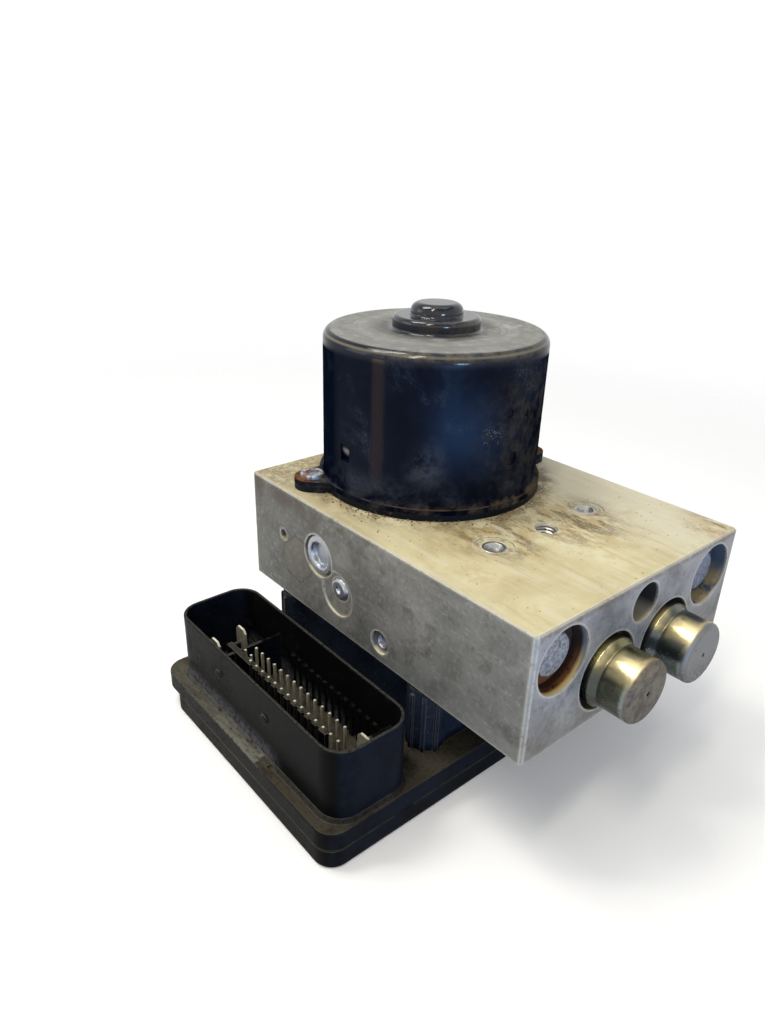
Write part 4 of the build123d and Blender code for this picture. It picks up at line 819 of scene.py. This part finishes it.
def yellow_zinc(colours):
    """Yellow passivated caps: olive, green and violet bands, worn and dirty on the ends. The upper half is
    paler and the upper flank gold in painted light, and the end's rounding carries painted highlights.
    """
    finish = Finish("yellow_zinc")
    x, y, z = (finish.along(axis) for axis in "XYZ")
    middle = (CAP_HIGH.z + CAP_LOW.z) / 2
    bands = finish.noise(13 * MM, 3.0, 0.5, distortion=0.9)
    back = finish.rise(y, -4 * MM, 4 * MM)
    across = finish.maths(
        "SUBTRACT", y, finish.blend(back, (CAP_LOW.y + CAP_HIGH.y) / 2, -(CAP_LOW.y + CAP_HIGH.y) / 2)
    )
    above = finish.maths("SUBTRACT", z, middle)
    flank = finish.maths("SUBTRACT", finish.times(above, 0.86), finish.times(across, 0.51))
    foot = finish.rise(x, BLOCK_HIGH.x + 5 * MM, BLOCK_HIGH.x + 3.5 * MM)
    high = finish.rise(finish.maths("SUBTRACT", flank, finish.times(foot, 1.3 * MM)), 8.6 * MM, 10.3 * MM)
    upper = finish.rise(above, 2 * MM, 9 * MM)
    low = finish.rise(z, middle + 2 * MM, middle - 9 * MM)
    tone = finish.mix(finish.rise(bands, 0.36, 0.60), shaded(colours.zinc, 0.75), colours.zinc)
    # Painted light on the caps: paler brass on the upper half and a painted gold highlight on the upper flank
    tone = finish.layers(
        tone,
        (CAP_OLIVE, low, 0.85),
        (CAP_LIT_BRASS, upper, 0.62),
        (CAP_GOLD_HIGHLIGHT, high, 0.92),
    )
    tint = finish.rise(finish.noise(9 * MM, 3.0, 0.5, distortion=1.2), 0.56, 0.68)
    tone = finish.over(tone, CAP_GREEN, tint, 0.45)
    violet = finish.rise(finish.noise(7 * MM, 3.0, 0.5, distortion=1.5), 0.60, 0.70)
    tone = finish.layers(
        tone,
        (CAP_VIOLET, violet, 0.30),
        (CAP_FOOT_GREY, foot, finish.inverse(upper), 0.50),
    )
    silver = finish.times(back, finish.inverse(high), finish.rise(finish.noise(6 * MM, 4.0, 0.6), 0.36, 0.52))
    tone = finish.over(tone, CAP_SILVER, silver, 0.80)
    wear = finish.noise(4.5 * MM, 6.0, 0.7)
    end = finish.rise(x, CAP_HIGH.x - 2.4 * MM, CAP_HIGH.x - 0.9 * MM)
    end_tone = finish.mix(finish.rise(wear, 0.40, 0.62), CAP_END_PALE, CAP_END_DARK)
    end_tone = finish.over(end_tone, BACK_CAP_END, back)
    worn = finish.either(end, finish.rise(wear, 0.62, 0.72))
    tone = finish.over(tone, end_tone, worn, 0.9)
    # Painted highlights on the rounding at the cap's end: pale below and gold above
    shoulder = finish.times(finish.rise(x, CAP_HIGH.x - 3.4 * MM, CAP_HIGH.x - 2.0 * MM), finish.inverse(end))
    ring = finish.mix(upper, CAP_RING_PALE_HIGHLIGHT, CAP_RING_GOLD_HIGHLIGHT)
    tone = finish.over(tone, ring, shoulder, 0.75)
    spots = finish.times(finish.specks(3.0 * MM, 0.30), finish.rise(finish.noise(9 * MM), 0.46, 0.58), 0.6)
    fine = finish.noise(1.1 * MM, 5.0, 0.72)
    grit = finish.times(low, finish.rise(fine, 0.40, 0.62), finish.blend(back, 0.5, 1.0))
    tone = finish.over(tone, CAP_GRIT, finish.either(spots, grit), 0.75)
    pale = finish.times(back, finish.rise(fine, 0.60, 0.70), finish.inverse(end))
    tone = finish.over(tone, CAP_BARE_METAL, pale, 0.7)
    roughness = finish.blend(finish.either(worn, grit), finish.blend(fine, 0.18, 0.32), 0.50)
    turning = finish.wave("BANDS", "X", TURNED_LINES)
    normal = finish.relief(turning, 0.008 * MM)
    normal = finish.relief(fine, 0.035 * MM, normal)
    return finish.done(tone, roughness, 0.92, normal)


def turned_steel(name, tone, rust_share, rust_tone=(0.14, 0.07, 0.035), roughness=0.32):
    """Turned or pressed steel with fine scratches and a share of its surface rusted."""
    finish = Finish(name)
    patch = finish.noise(4.5 * MM, 6.0, 0.7)
    rust = finish.rise(patch, 0.78 - 0.5 * rust_share, 0.88 - 0.5 * rust_share)
    fine = finish.noise(0.6 * MM, 3.0, 0.7)
    shade = finish.mix(finish.rise(fine, 0.35, 0.65), shaded(tone, 0.78), tone)
    colour = finish.mix(rust, shade, finish.mix(fine, rust_tone, shaded(rust_tone, 1.7)))
    rough = finish.blend(rust, finish.blend(fine, roughness - 0.06, roughness + 0.08), 0.88)
    normal = finish.relief(fine, 0.015 * MM)
    normal = finish.relief(finish.times(rust, patch), 0.12 * MM, normal)
    return finish.done(colour, rough, finish.blend(rust, 0.95, 0.1), normal)


def corroded_plug(colours):
    """Recessed plugs: a crystalline grey face inside a dark rusted rim; at the back a painted blue reflection
    lies over face and rim.
    """
    finish = Finish("corroded_plug")
    x, y, z = (finish.along(axis) for axis in "XYZ")
    back = finish.rise(y, -5 * MM, 5 * MM)
    face = finish.rise(x, BLOCK_HIGH.x - 4.4 * MM, BLOCK_HIGH.x - 3.9 * MM)
    crust = finish.cells(1.5 * MM, "SMOOTH_F1")
    fine = finish.noise(0.9 * MM, 5.0, 0.75)
    grey = finish.mix(finish.rise(fine, 0.38, 0.62), PLUG_GREY_DARK, PLUG_GREY_PALE)
    grey = finish.over(grey, PLUG_BROWN, finish.rise(finish.noise(4 * MM, 5.0, 0.7), 0.54, 0.66))
    # A painted blue reflection on the back plug's face and rim
    blue_reflection = finish.mix(finish.rise(fine, 0.36, 0.64), PLUG_BLUE_REFLECTION_DARK, PLUG_BLUE_REFLECTION_PALE)
    grey = finish.over(grey, blue_reflection, back, 0.8)
    rim = finish.mix(finish.rise(z, DAMPER_Z, DAMPER_Z - 9 * MM), PLUG_RIM_BLACK, colours.rust)
    rim = finish.layers(
        rim,
        (PLUG_RIM_RUST, finish.rise(fine, 0.50, 0.70)),
        (PLUG_RIM_BLUE_REFLECTION, back, 0.7),
    )
    colour = finish.mix(face, rim, grey)
    normal = finish.relief(crust, 0.25 * MM)
    normal = finish.relief(fine, 0.12 * MM, normal)
    return finish.done(colour, finish.blend(face, 0.9, 0.62), finish.blend(face, 0.05, 0.25), normal)


def black_plastic(colours):
    """Black moulding with a spark-eroded grain, brown dust on what faces up, scuffs and worn edges. The worn
    edges also carry a painted highlight, and the +X faces and the column a painted blue light and reflection.
    """
    finish = Finish("black_plastic")
    up, front = finish.toward("Z"), finish.toward("Y", -1)
    x, y, z = (finish.along(axis) for axis in "XYZ")
    blotch = finish.noise(15 * MM, 5.0, 0.65)
    fine = finish.noise(1.4 * MM, 5.0, 0.72)
    grain = finish.noise(0.35 * MM, 2.0)
    left = finish.rise(x, 14 * MM, -4 * MM)
    outside = finish.rise(y, HOUSING_LOW.y + 8 * MM, HOUSING_LOW.y + 6 * MM)
    ledge = finish.times(up, finish.rise(z, RIM_TOP + 3 * MM, RIM_TOP + 1.5 * MM))
    dust = finish.times(ledge, finish.rise(blotch, 0.26, 0.52), finish.rise(fine, 0.24, 0.50))
    film = finish.times(
        finish.rise(blotch, 0.38, 0.66), finish.rise(fine, 0.38, 0.64), finish.blend(left, 0.25, 0.60)
    )
    scrape = finish.noise(1.0, 5.0, 0.68, vector=finish.stretch(90, 420, 420))
    scuffs = finish.times(
        finish.rise(scrape, 0.56, 0.70), finish.blend(left, 0.25, 1.0), finish.rise(blotch, 0.34, 0.54)
    )
    strip = finish.blend(finish.rise(x, -26 * MM, STRIP_END - 8 * MM), 0.35, 1.0)
    pale = finish.times(
        ledge,
        outside,
        finish.rise(x, STRIP_END + 0.6 * MM, STRIP_END),
        strip,
        finish.rise(fine, 0.28, 0.48),
    )
    pale = finish.times(pale, finish.blend(finish.rise(scrape, 0.40, 0.58), 0.45, 1.0))
    foot = finish.rise(z, RIM_TOP + 9 * MM, RIM_TOP + 2 * MM)
    crumbs = finish.times(
        front, finish.rise(x, STRIP_END + 12 * MM, STRIP_END), foot, finish.rise(fine, 0.36, 0.56)
    )
    crumbs = finish.times(crumbs, finish.rise(z, RIM_TOP - 1 * MM, RIM_TOP))
    comb = finish.times(
        finish.rise(y, COMB_FRONT - 1 * MM, COMB_FRONT),
        finish.rise(y, COMB_FRONT + 8 * MM, COMB_FRONT + 7 * MM),
        finish.rise(z, HOUSING_HIGH.z - 1.5 * MM, HOUSING_HIGH.z - 2.5 * MM),
    )
    tops = finish.times(up, finish.inverse(finish.either(ledge, comb)), finish.rise(fine, 0.30, 0.55))
    # Painted blue light on the faces that look toward +X
    blue_lit_right = finish.times(finish.toward("X"), finish.rise(blotch, 0.25, 0.6))
    chamber = finish.times(
        finish.rise(y, COMB_FRONT + 10 * MM, COMB_FRONT + 13 * MM),
        finish.rise(z, RIM_TOP + 1 * MM, RIM_TOP + 4 * MM),
    )
    colour = finish.mix(blue_lit_right, colours.plastic, PLASTIC_BLUE_LIGHT)
    colour = finish.layers(
        colour,
        # A painted blue reflection on the chamber's column
        (COLUMN_BLUE_REFLECTION, chamber, finish.blend(finish.rise(blotch, 0.30, 0.66), 0.35, 0.75)),
        (COLUMN_SPECK, chamber, finish.rise(fine, 0.56, 0.66), 0.5),
        (PLASTIC_FILM, film, 0.20),
        (LEDGE_DUST, dust, 0.80),
        (RIM_DUST, tops, 0.50),
        (SCUFF_GREY, scuffs, 0.20),
        (CRUMB_GREY, crumbs, 0.62),
        (STRIP_DUST, pale, 0.80),
    )
    corner = finish.times(finish.hollows(3 * MM), finish.rise(fine, 0.40, 0.60))
    colour = finish.over(colour, CORNER_DIRT, corner, 0.40)
    # Lighter worn edges that also carry a painted edge highlight
    edge_wear_and_highlight = finish.times(finish.edges(0.5 * MM), finish.rise(fine, 0.25, 0.5), finish.inverse(comb))
    colour = finish.over(colour, EDGE_WORN_AND_LIT, edge_wear_and_highlight, 0.70)
    roughness = finish.blend(
        finish.either(dust, scuffs, film, pale, crumbs), finish.blend(fine, 0.26, 0.40), 0.78
    )
    normal = finish.relief(grain, 0.022 * MM)
    normal = finish.relief(finish.either(fine, scuffs), 0.03 * MM, normal)
    return finish.done(colour, roughness, 0.0, normal, Specular_IOR_Level=0.022)


def contact_plating(colours):
    """Pale gold plated contacts, slightly dulled."""
    finish = Finish("contact_plating")
    fine = finish.noise(0.9 * MM, 3.0)
    colour = finish.mix(finish.rise(fine, 0.35, 0.7), shaded(colours.contact, 0.78), colours.contact)
    return finish.done(colour, finish.blend(fine, 0.26, 0.42), 0.8, finish.relief(fine, 0.01 * MM))


def moulded(name, tone, roughness=0.55, grain=0.5 * MM):
    """A plain moulding, rubber or ceramic with a fine grain."""
    finish = Finish(name)
    fine = finish.noise(grain, 3.0)
    broad = finish.noise(9 * MM, 4.0)
    colour = finish.mix(finish.rise(broad, 0.35, 0.7), shaded(tone, 0.8), shaded(tone, 1.15))
    return finish.done(
        colour, finish.blend(fine, roughness - 0.08, roughness + 0.1), 0.0, finish.relief(fine, 0.03 * MM)
    )


def wound_copper(name, tone):
    """Enamelled wire: fine parallel turns in relief."""
    finish = Finish(name)
    turns = finish.wave("RINGS", "Z", WOUND_TURNS, distortion=0.8)
    colour = finish.mix(turns, shaded(tone, 0.35), tone)
    return finish.done(colour, 0.35, 0.8, finish.relief(turns, 0.2 * MM))


def laminated_steel(name, tone):
    """Stacked sheets seen on edge."""
    finish = Finish(name)
    sheets = finish.wave("BANDS", "Z", STACKED_SHEETS)
    colour = finish.mix(sheets, shaded(tone, 0.5), tone)
    return finish.done(colour, 0.45, 0.85, finish.relief(sheets, 0.05 * MM))


def circuit_laminate(name):
    """Green solder resist with tracks and pads."""
    finish = Finish(name)
    tracks = finish.rise(finish.cells(3.0 * MM, "DISTANCE_TO_EDGE"), 0.10, 0.06)
    pads = finish.specks(4.2 * MM, 0.22)
    colour = finish.mix(finish.times(tracks, 0.5), RESIST_DARK, RESIST_PALE)
    colour = finish.over(colour, PAD_TIN, pads)
    return finish.done(
        colour,
        finish.blend(pads, 0.35, 0.25),
        finish.blend(pads, 0.0, 0.8),
        finish.relief(tracks, 0.03 * MM),
    )


# ======== Giving the solids their finishes
def dress(material, *nodes):
    """Give a finish to solids whose shape is right as it is."""
    for name in nodes:
        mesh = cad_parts[name].data
        mesh.materials.clear()
        mesh.materials.append(material)


def both(stem):
    """The front and back ones of a pair."""
    return f"{stem}_front", f"{stem}_back"


def shortening(node):
    """Show a spring by a copy of its coil that rides on the unit, with the solid hidden."""
    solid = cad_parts[node]
    coil = bpy.data.objects.new(f"{node}_coil", solid.data.copy())
    bpy.context.scene.collection.objects.link(coil)
    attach(coil, "unit")
    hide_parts(node)
    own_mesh(coil)
    return coil


PLUNGERS = [f"{kind}_plunger_{number}" for kind in ("inlet", "outlet") for number in range(1, 5)]


class BRAKEUNIT_OT_motor(bpy.types.Operator):
    """Finish the motor's can, end shield and screws"""

    bl_idname = "brakeunit.motor"
    bl_label = "Motor"

    def execute(self, context):
        colours = context.scene.brake_unit_colours
        dress(black_lacquer(colours), "motor_can")
        dress(
            turned_steel("dark_shield", (0.012, 0.015, 0.022), 0.42, (0.050, 0.030, 0.018), 0.5),
            "end_shield",
        )
        # The blue tint of the screws' steel is a painted highlight
        dress(
            turned_steel("rusted_screw", (0.50, 0.58, 0.68), 0.62, (0.165, 0.085, 0.050), 0.4),
            "motor_screws",
        )
        dress(moulded("motor_seal_rubber", (0.02, 0.02, 0.02), 0.7), "motor_seal")
        return {"FINISHED"}


class BRAKEUNIT_OT_armature(bpy.types.Operator):
    """Finish what turns inside the motor, its bearings and its brush gear"""

    bl_idname = "brakeunit.armature"
    bl_label = "Armature and brushes"

    def execute(self, context):
        dress(moulded("ferrite", (0.035, 0.035, 0.038), 0.5, 1.2 * MM), "motor_magnets")
        dress(laminated_steel("laminations", (0.35, 0.35, 0.37)), "rotor_core")
        dress(wound_copper("winding_wire", (0.62, 0.24, 0.10)), "rotor_windings")
        dress(
            turned_steel("copper_bars", (0.75, 0.36, 0.20), 0.0, roughness=0.25), "commutator", "motor_pins"
        )
        dress(
            turned_steel("ground_steel", (0.55, 0.56, 0.58), 0.0, roughness=0.18),
            "rotor_shaft",
            "bearing_cup",
            "bearing_rollers",
            "eccentric_needles",
            "eccentric_ring",
        )
        dress(turned_steel("oiled_bronze", (0.42, 0.27, 0.10), 0.0, roughness=0.45), "upper_bush")
        dress(moulded("brush_resin", (0.06, 0.04, 0.025), 0.5), "brush_plate", "lead_sleeve")
        dress(moulded("brush_carbon", (0.025, 0.025, 0.027), 0.6, 0.3 * MM), "brush_front", "brush_back")
        return {"FINISHED"}


class BRAKEUNIT_OT_block(bpy.types.Operator):
    """Finish the valve block"""

    bl_idname = "brakeunit.block"
    bl_label = "Valve block"

    def execute(self, context):
        dress(machined_aluminium(context.scene.brake_unit_colours), "valve_block")
        return {"FINISHED"}


class BRAKEUNIT_OT_plugs(bpy.types.Operator):
    """Finish the plugs that close the block's bores"""

    bl_idname = "brakeunit.plugs"
    bl_label = "Plugs"

    def execute(self, context):
        dress(
            turned_steel("plug_steel", (0.40, 0.43, 0.48), 0.10, roughness=0.34),
            *both("pump_plug"),
            "dome_plug",
            "small_plug",
        )
        dress(turned_steel("gallery_steel", (0.50, 0.50, 0.48), 0.10, roughness=0.36), "gallery_plugs")
        dress(corroded_plug(context.scene.brake_unit_colours), "damper_plugs")
        return {"FINISHED"}


class BRAKEUNIT_OT_accumulators(bpy.types.Operator):
    """Finish the accumulators' caps, rings, pistons and springs"""

    bl_idname = "brakeunit.accumulators"
    bl_label = "Accumulators"

    def execute(self, context):
        dress(yellow_zinc(context.scene.brake_unit_colours), *both("accumulator_cap"))
        dress(turned_steel("ring_steel", (0.10, 0.095, 0.09), 0.5, roughness=0.5), "cap_circlips")
        dress(moulded("piston_polymer", (0.55, 0.50, 0.40), 0.4), *both("accumulator_piston"))
        dress(moulded("seal_rubber", (0.018, 0.018, 0.018), 0.6), *both("accumulator_seal"), "ecu_seal")
        wire = turned_steel("spring_steel", (0.42, 0.42, 0.42), 0.0, roughness=0.28)
        dress(wire, *both("accumulator_spring"), *both("pump_spring"), "brush_springs")
        for side, outward in (("front", -1), ("back", 1)):
            shortening(
                f"accumulator_spring_{side}",
            )
            shortening(f"pump_spring_{side}")
        return {"FINISHED"}


class BRAKEUNIT_OT_hydraulics(bpy.types.Operator):
    """Finish the pump's sleeves and pistons, the valves and their coils"""

    bl_idname = "brakeunit.hydraulics"
    bl_label = "Pump and valves"

    def execute(self, context):
        steel = turned_steel("valve_steel", (0.55, 0.55, 0.56), 0.0, roughness=0.22)
        dress(steel, *both("pump_sleeve"), *both("pump_piston"), "inlet_valves", "outlet_valves", *PLUNGERS)
        dress(moulded("coil_resin", (0.02, 0.03, 0.032), 0.45), "valve_coils")
        return {"FINISHED"}


class BRAKEUNIT_OT_control_unit(bpy.types.Operator):
    """Finish the control unit: housing, cover, board, contacts and screws"""

    bl_idname = "brakeunit.control_unit"
    bl_label = "Control unit"

    def execute(self, context):
        colours = context.scene.brake_unit_colours
        dress(black_plastic(colours), "ecu_housing", "ecu_cover")
        dress(contact_plating(colours), "signal_pins", "power_blades")
        dress(circuit_laminate("circuit_laminate"), "circuit_board")
        dress(turned_steel("screw_steel", (0.34, 0.34, 0.35), 0.25), "ecu_screws")
        return {"FINISHED"}


# ======== Small pieces that ride on the block
def place_piece(name, form, body):
    """Turn a mesh under construction into a visible piece on a body."""
    bmesh.ops.recalc_face_normals(form, faces=form.faces)
    mesh = bpy.data.meshes.new(name)
    form.to_mesh(mesh)
    form.free()
    piece = bpy.data.objects.new(name, mesh)
    bpy.context.scene.collection.objects.link(piece)
    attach(piece, body)
    return piece


def thread(name, mouth, inward, radius, pitch, depth, ridge):
    """A screw thread's ridge wound down a bore's wall; it fades out at both ends."""
    side = inward.orthogonal().normalized()
    lift = inward.cross(side)
    form = bmesh.new()
    steps = round(depth / pitch * THREAD_STEPS)
    last = None
    for step in range(steps + 1):
        angle = 2 * pi * step / THREAD_STEPS
        fade = max(THREAD_FADE, min(1.0, 2 * step / THREAD_STEPS, 2 * (steps - step) / THREAD_STEPS))
        out = side * cos(angle) + lift * sin(angle)
        middle = mouth + inward * (pitch * step / THREAD_STEPS)
        root, flank = out * (radius + THREAD_ROOT), inward * (THREAD_FLANK * pitch * fade)
        crest = out * (radius - ridge * fade)
        section = [form.verts.new(middle + place) for place in (root - flank, crest, root + flank)]
        if last:
            for first, second in ((0, 1), (1, 2), (2, 0)):
                form.faces.new((last[first], last[second], section[second], section[first]))
        else:
            form.faces.new(section)
        last = section
    form.faces.new(reversed(last))
    return place_piece(name, form, "unit")


class BRAKEUNIT_OT_threads(bpy.types.Operator):
    """Cut the threads of the bracket hole, the wheel ports and the master cylinder's ports"""

    bl_idname = "brakeunit.threads"
    bl_label = "Threads"

    def execute(self, context):
        metal = bpy.data.materials["machined_aluminium"]
        down, inward = Vector((0, 0, -1)), Vector((1, 0, 0))
        bracket = Vector((BRACKET_X, 0, BLOCK_HIGH.z - THREAD_START))
        pieces = [thread("bracket_thread", bracket, down, *BRACKET_THREAD)]
        for stem, places, height, sizes in (
            ("wheel_port_thread", WHEEL_PORTS, WHEEL_PORT_Z, WHEEL_PORT_THREAD),
            ("master_port_thread", MASTER_PORTS, MASTER_PORT_Z, MASTER_PORT_THREAD),
        ):
            for number, y in enumerate(places, 1):
                mouth = Vector((BLOCK_LOW.x + THREAD_START, y, height))
                pieces.append(thread(f"{stem}_{number}", mouth, inward, *sizes))
        for piece in pieces:
            piece.data.materials.append(metal)
        return {"FINISHED"}


class BRAKEUNIT_OT_grit(bpy.types.Operator):
    """Scatter dried grit round the motor's foot"""

    bl_idname = "brakeunit.grit"
    bl_label = "Grit"

    def execute(self, context):
        rng = random.Random(GRIT_SEED)
        form = bmesh.new()
        for _ in range(GRIT_COUNT):
            angle = radians(rng.uniform(*GRIT_ARC))
            reach = CAN_FLANGE_RADIUS + 0.2 * MM + rng.expovariate(1.0) * GRIT_SPREAD
            size = rng.uniform(*GRIT_SIZE) * MM
            place = Vector((reach * cos(angle), reach * sin(angle), BLOCK_HIGH.z + 0.35 * size))
            there = Matrix.Translation(place)
            grain = bmesh.ops.create_icosphere(form, subdivisions=1, radius=size, matrix=there)
            for vertex in grain["verts"]:
                vertex.co += Vector([rng.uniform(-0.25, 0.25) * size for _ in range(3)])
        grit = place_piece("foot_grit", form, "unit")
        grit.data.materials.append(moulded("dried_grit", (0.20, 0.135, 0.070), 0.85, 0.4 * MM))
        return {"FINISHED"}


# ======== Stage, lights and camera
def soft_light(name, place, aim, width, height, power, tone, spread):
    """A rectangular area light that looks at a point; its beam's spread is in degrees."""
    light = bpy.data.lights.new(name, "AREA")
    light.shape = "RECTANGLE"
    light.size = width
    light.size_y = height
    light.energy = power
    light.color = tone
    light.spread = radians(spread)
    lamp = bpy.data.objects.new(name, light)
    lamp.visible_camera = False
    lamp.location = place
    lamp.rotation_euler = (Vector(aim) - Vector(place)).to_track_quat("-Z", "Y").to_euler()
    bpy.context.scene.collection.objects.link(lamp)
    return lamp


def sky(world):
    """White behind the object, and a soft even light on it that is dimmer overhead in reflections."""
    world.use_nodes = True
    tree = world.node_tree
    tree.nodes.clear()
    output = tree.nodes.new("ShaderNodeOutputWorld")
    path = tree.nodes.new("ShaderNodeLightPath")
    seen = tree.nodes.new("ShaderNodeMath")
    seen.operation = "ADD"
    seen.use_clamp = True
    mirrored = tree.nodes.new("ShaderNodeMath")
    mirrored.operation = "MAXIMUM"
    tree.links.new(path.outputs["Is Glossy Ray"], mirrored.inputs[0])
    tree.links.new(path.outputs["Is Transmission Ray"], mirrored.inputs[1])
    tree.links.new(path.outputs["Is Camera Ray"], seen.inputs[0])
    tree.links.new(mirrored.outputs[0], seen.inputs[1])
    place = tree.nodes.new("ShaderNodeTexCoord")
    split = tree.nodes.new("ShaderNodeSeparateXYZ")
    tree.links.new(place.outputs["Generated"], split.inputs[0])
    ramp = tree.nodes.new("ShaderNodeValToRGB")
    for stop, position, tone in zip(ramp.color_ramp.elements, ZENITH_RAMP, ((1, 1, 1, 1), ZENITH_TONE)):
        stop.position = position
        stop.color = tone
    tree.links.new(split.outputs["Z"], ramp.inputs["Fac"])
    backdrop = tree.nodes.new("ShaderNodeBackground")
    tree.links.new(ramp.outputs["Color"], backdrop.inputs["Color"])
    light = tree.nodes.new("ShaderNodeBackground")
    light.inputs["Color"].default_value = SKY_TONE
    light.inputs["Strength"].default_value = SKY_STRENGTH
    choice = tree.nodes.new("ShaderNodeMixShader")
    tree.links.new(seen.outputs[0], choice.inputs[0])
    tree.links.new(light.outputs[0], choice.inputs[1])
    tree.links.new(backdrop.outputs[0], choice.inputs[2])
    tree.links.new(choice.outputs[0], output.inputs["Surface"])
    return world


def pale_floor(radius):
    """A white floor that fades into the backdrop and keeps the object's shadow."""
    mesh = bpy.data.meshes.new("floor")
    form = bmesh.new()
    bmesh.ops.create_circle(form, cap_ends=True, radius=radius, segments=96)
    form.to_mesh(mesh)
    form.free()
    floor = bpy.data.objects.new("floor", mesh)
    bpy.context.scene.collection.objects.link(floor)
    finish = Finish("floor_paper")
    reach = finish.distance((0, 0, 0), "Z")
    clear = finish.tree.nodes.new("ShaderNodeBsdfTransparent")
    choice = finish.tree.nodes.new("ShaderNodeMixShader")
    finish.done(FLOOR_TONE, 0.9, Specular_IOR_Level=0.1, Emission_Color=(1, 1, 1))
    finish.feed(finish.shader.inputs["Emission Strength"], finish.times(finish.seen_directly(), FLOOR_GLOW))
    finish.feed(choice.inputs[0], finish.rise(reach, *(share * radius for share in FLOOR_FADE)))
    finish.tree.links.new(finish.shader.outputs[0], choice.inputs[1])
    finish.tree.links.new(clear.outputs[0], choice.inputs[2])
    finish.tree.links.new(choice.outputs[0], finish.tree.nodes["Material Output"].inputs["Surface"])
    mesh.materials.append(finish.material)


class BRAKEUNIT_OT_stage(bpy.types.Operator):
    """Set up the floor, the lights and the camera"""

    bl_idname = "brakeunit.stage"
    bl_label = "Stage"

    def execute(self, context):
        scene = context.scene
        sizes = scene.brake_unit_sizes
        scene.view_settings.view_transform = "Standard"
        scene.world = sky(bpy.data.worlds.new("studio"))
        pale_floor(sizes.floor_radius)
        for lamp in LAMPS:
            soft_light(*lamp)
        camera = bpy.data.objects.new("camera", bpy.data.cameras.new("camera"))
        camera.data.sensor_fit = "HORIZONTAL"
        camera.data.sensor_width = SENSOR_WIDTH
        camera.data.lens = sizes.lens
        camera.data.clip_start = NEAR_CLIP
        turn = Matrix((CAMERA_RIGHT, -CAMERA_DOWN, -CAMERA_AHEAD)).transposed()
        camera.matrix_world = Matrix.Translation(CAMERA_PLACE) @ turn.to_4x4()
        scene.collection.objects.link(camera)
        scene.camera = camera
        return {"FINISHED"}


class BRAKEUNIT_PT_panel(bpy.types.Panel):
    """Buttons for each step"""

    bl_label = "Brake Unit"
    bl_space_type = "VIEW_3D"
    bl_region_type = "UI"
    bl_category = "Brake Unit"

    def draw(self, context):
        for step in STEPS:
            self.layout.operator(step.bl_idname)
        for group in (context.scene.brake_unit_sizes, context.scene.brake_unit_colours):
            for name in group.__annotations__:
                self.layout.prop(group, name)


STEPS = (
    BRAKEUNIT_OT_stage,
    BRAKEUNIT_OT_motor,
    BRAKEUNIT_OT_armature,
    BRAKEUNIT_OT_block,
    BRAKEUNIT_OT_plugs,
    BRAKEUNIT_OT_accumulators,
    BRAKEUNIT_OT_hydraulics,
    BRAKEUNIT_OT_control_unit,
    BRAKEUNIT_OT_threads,
    BRAKEUNIT_OT_grit,
)
CLASSES = (BrakeUnitSizes, BrakeUnitColours, *STEPS, BRAKEUNIT_PT_panel)


def register():
    """Register the classes and hang the settings on the scene."""
    for cls in CLASSES:
        bpy.utils.register_class(cls)
    bpy.types.Scene.brake_unit_sizes = PointerProperty(type=BrakeUnitSizes)
    bpy.types.Scene.brake_unit_colours = PointerProperty(type=BrakeUnitColours)


def unregister():
    """Undo register."""
    del bpy.types.Scene.brake_unit_colours
    del bpy.types.Scene.brake_unit_sizes
    for cls in reversed(CLASSES):
        bpy.utils.unregister_class(cls)


def main():
    """Run each step in order."""
    register()
    bpy.ops.brakeunit.stage()
    bpy.ops.brakeunit.motor()
    bpy.ops.brakeunit.armature()
    bpy.ops.brakeunit.block()
    bpy.ops.brakeunit.plugs()
    bpy.ops.brakeunit.accumulators()
    bpy.ops.brakeunit.hydraulics()
    bpy.ops.brakeunit.control_unit()
    bpy.ops.brakeunit.threads()
    bpy.ops.brakeunit.grit()


if __name__ == "__main__":
    main()
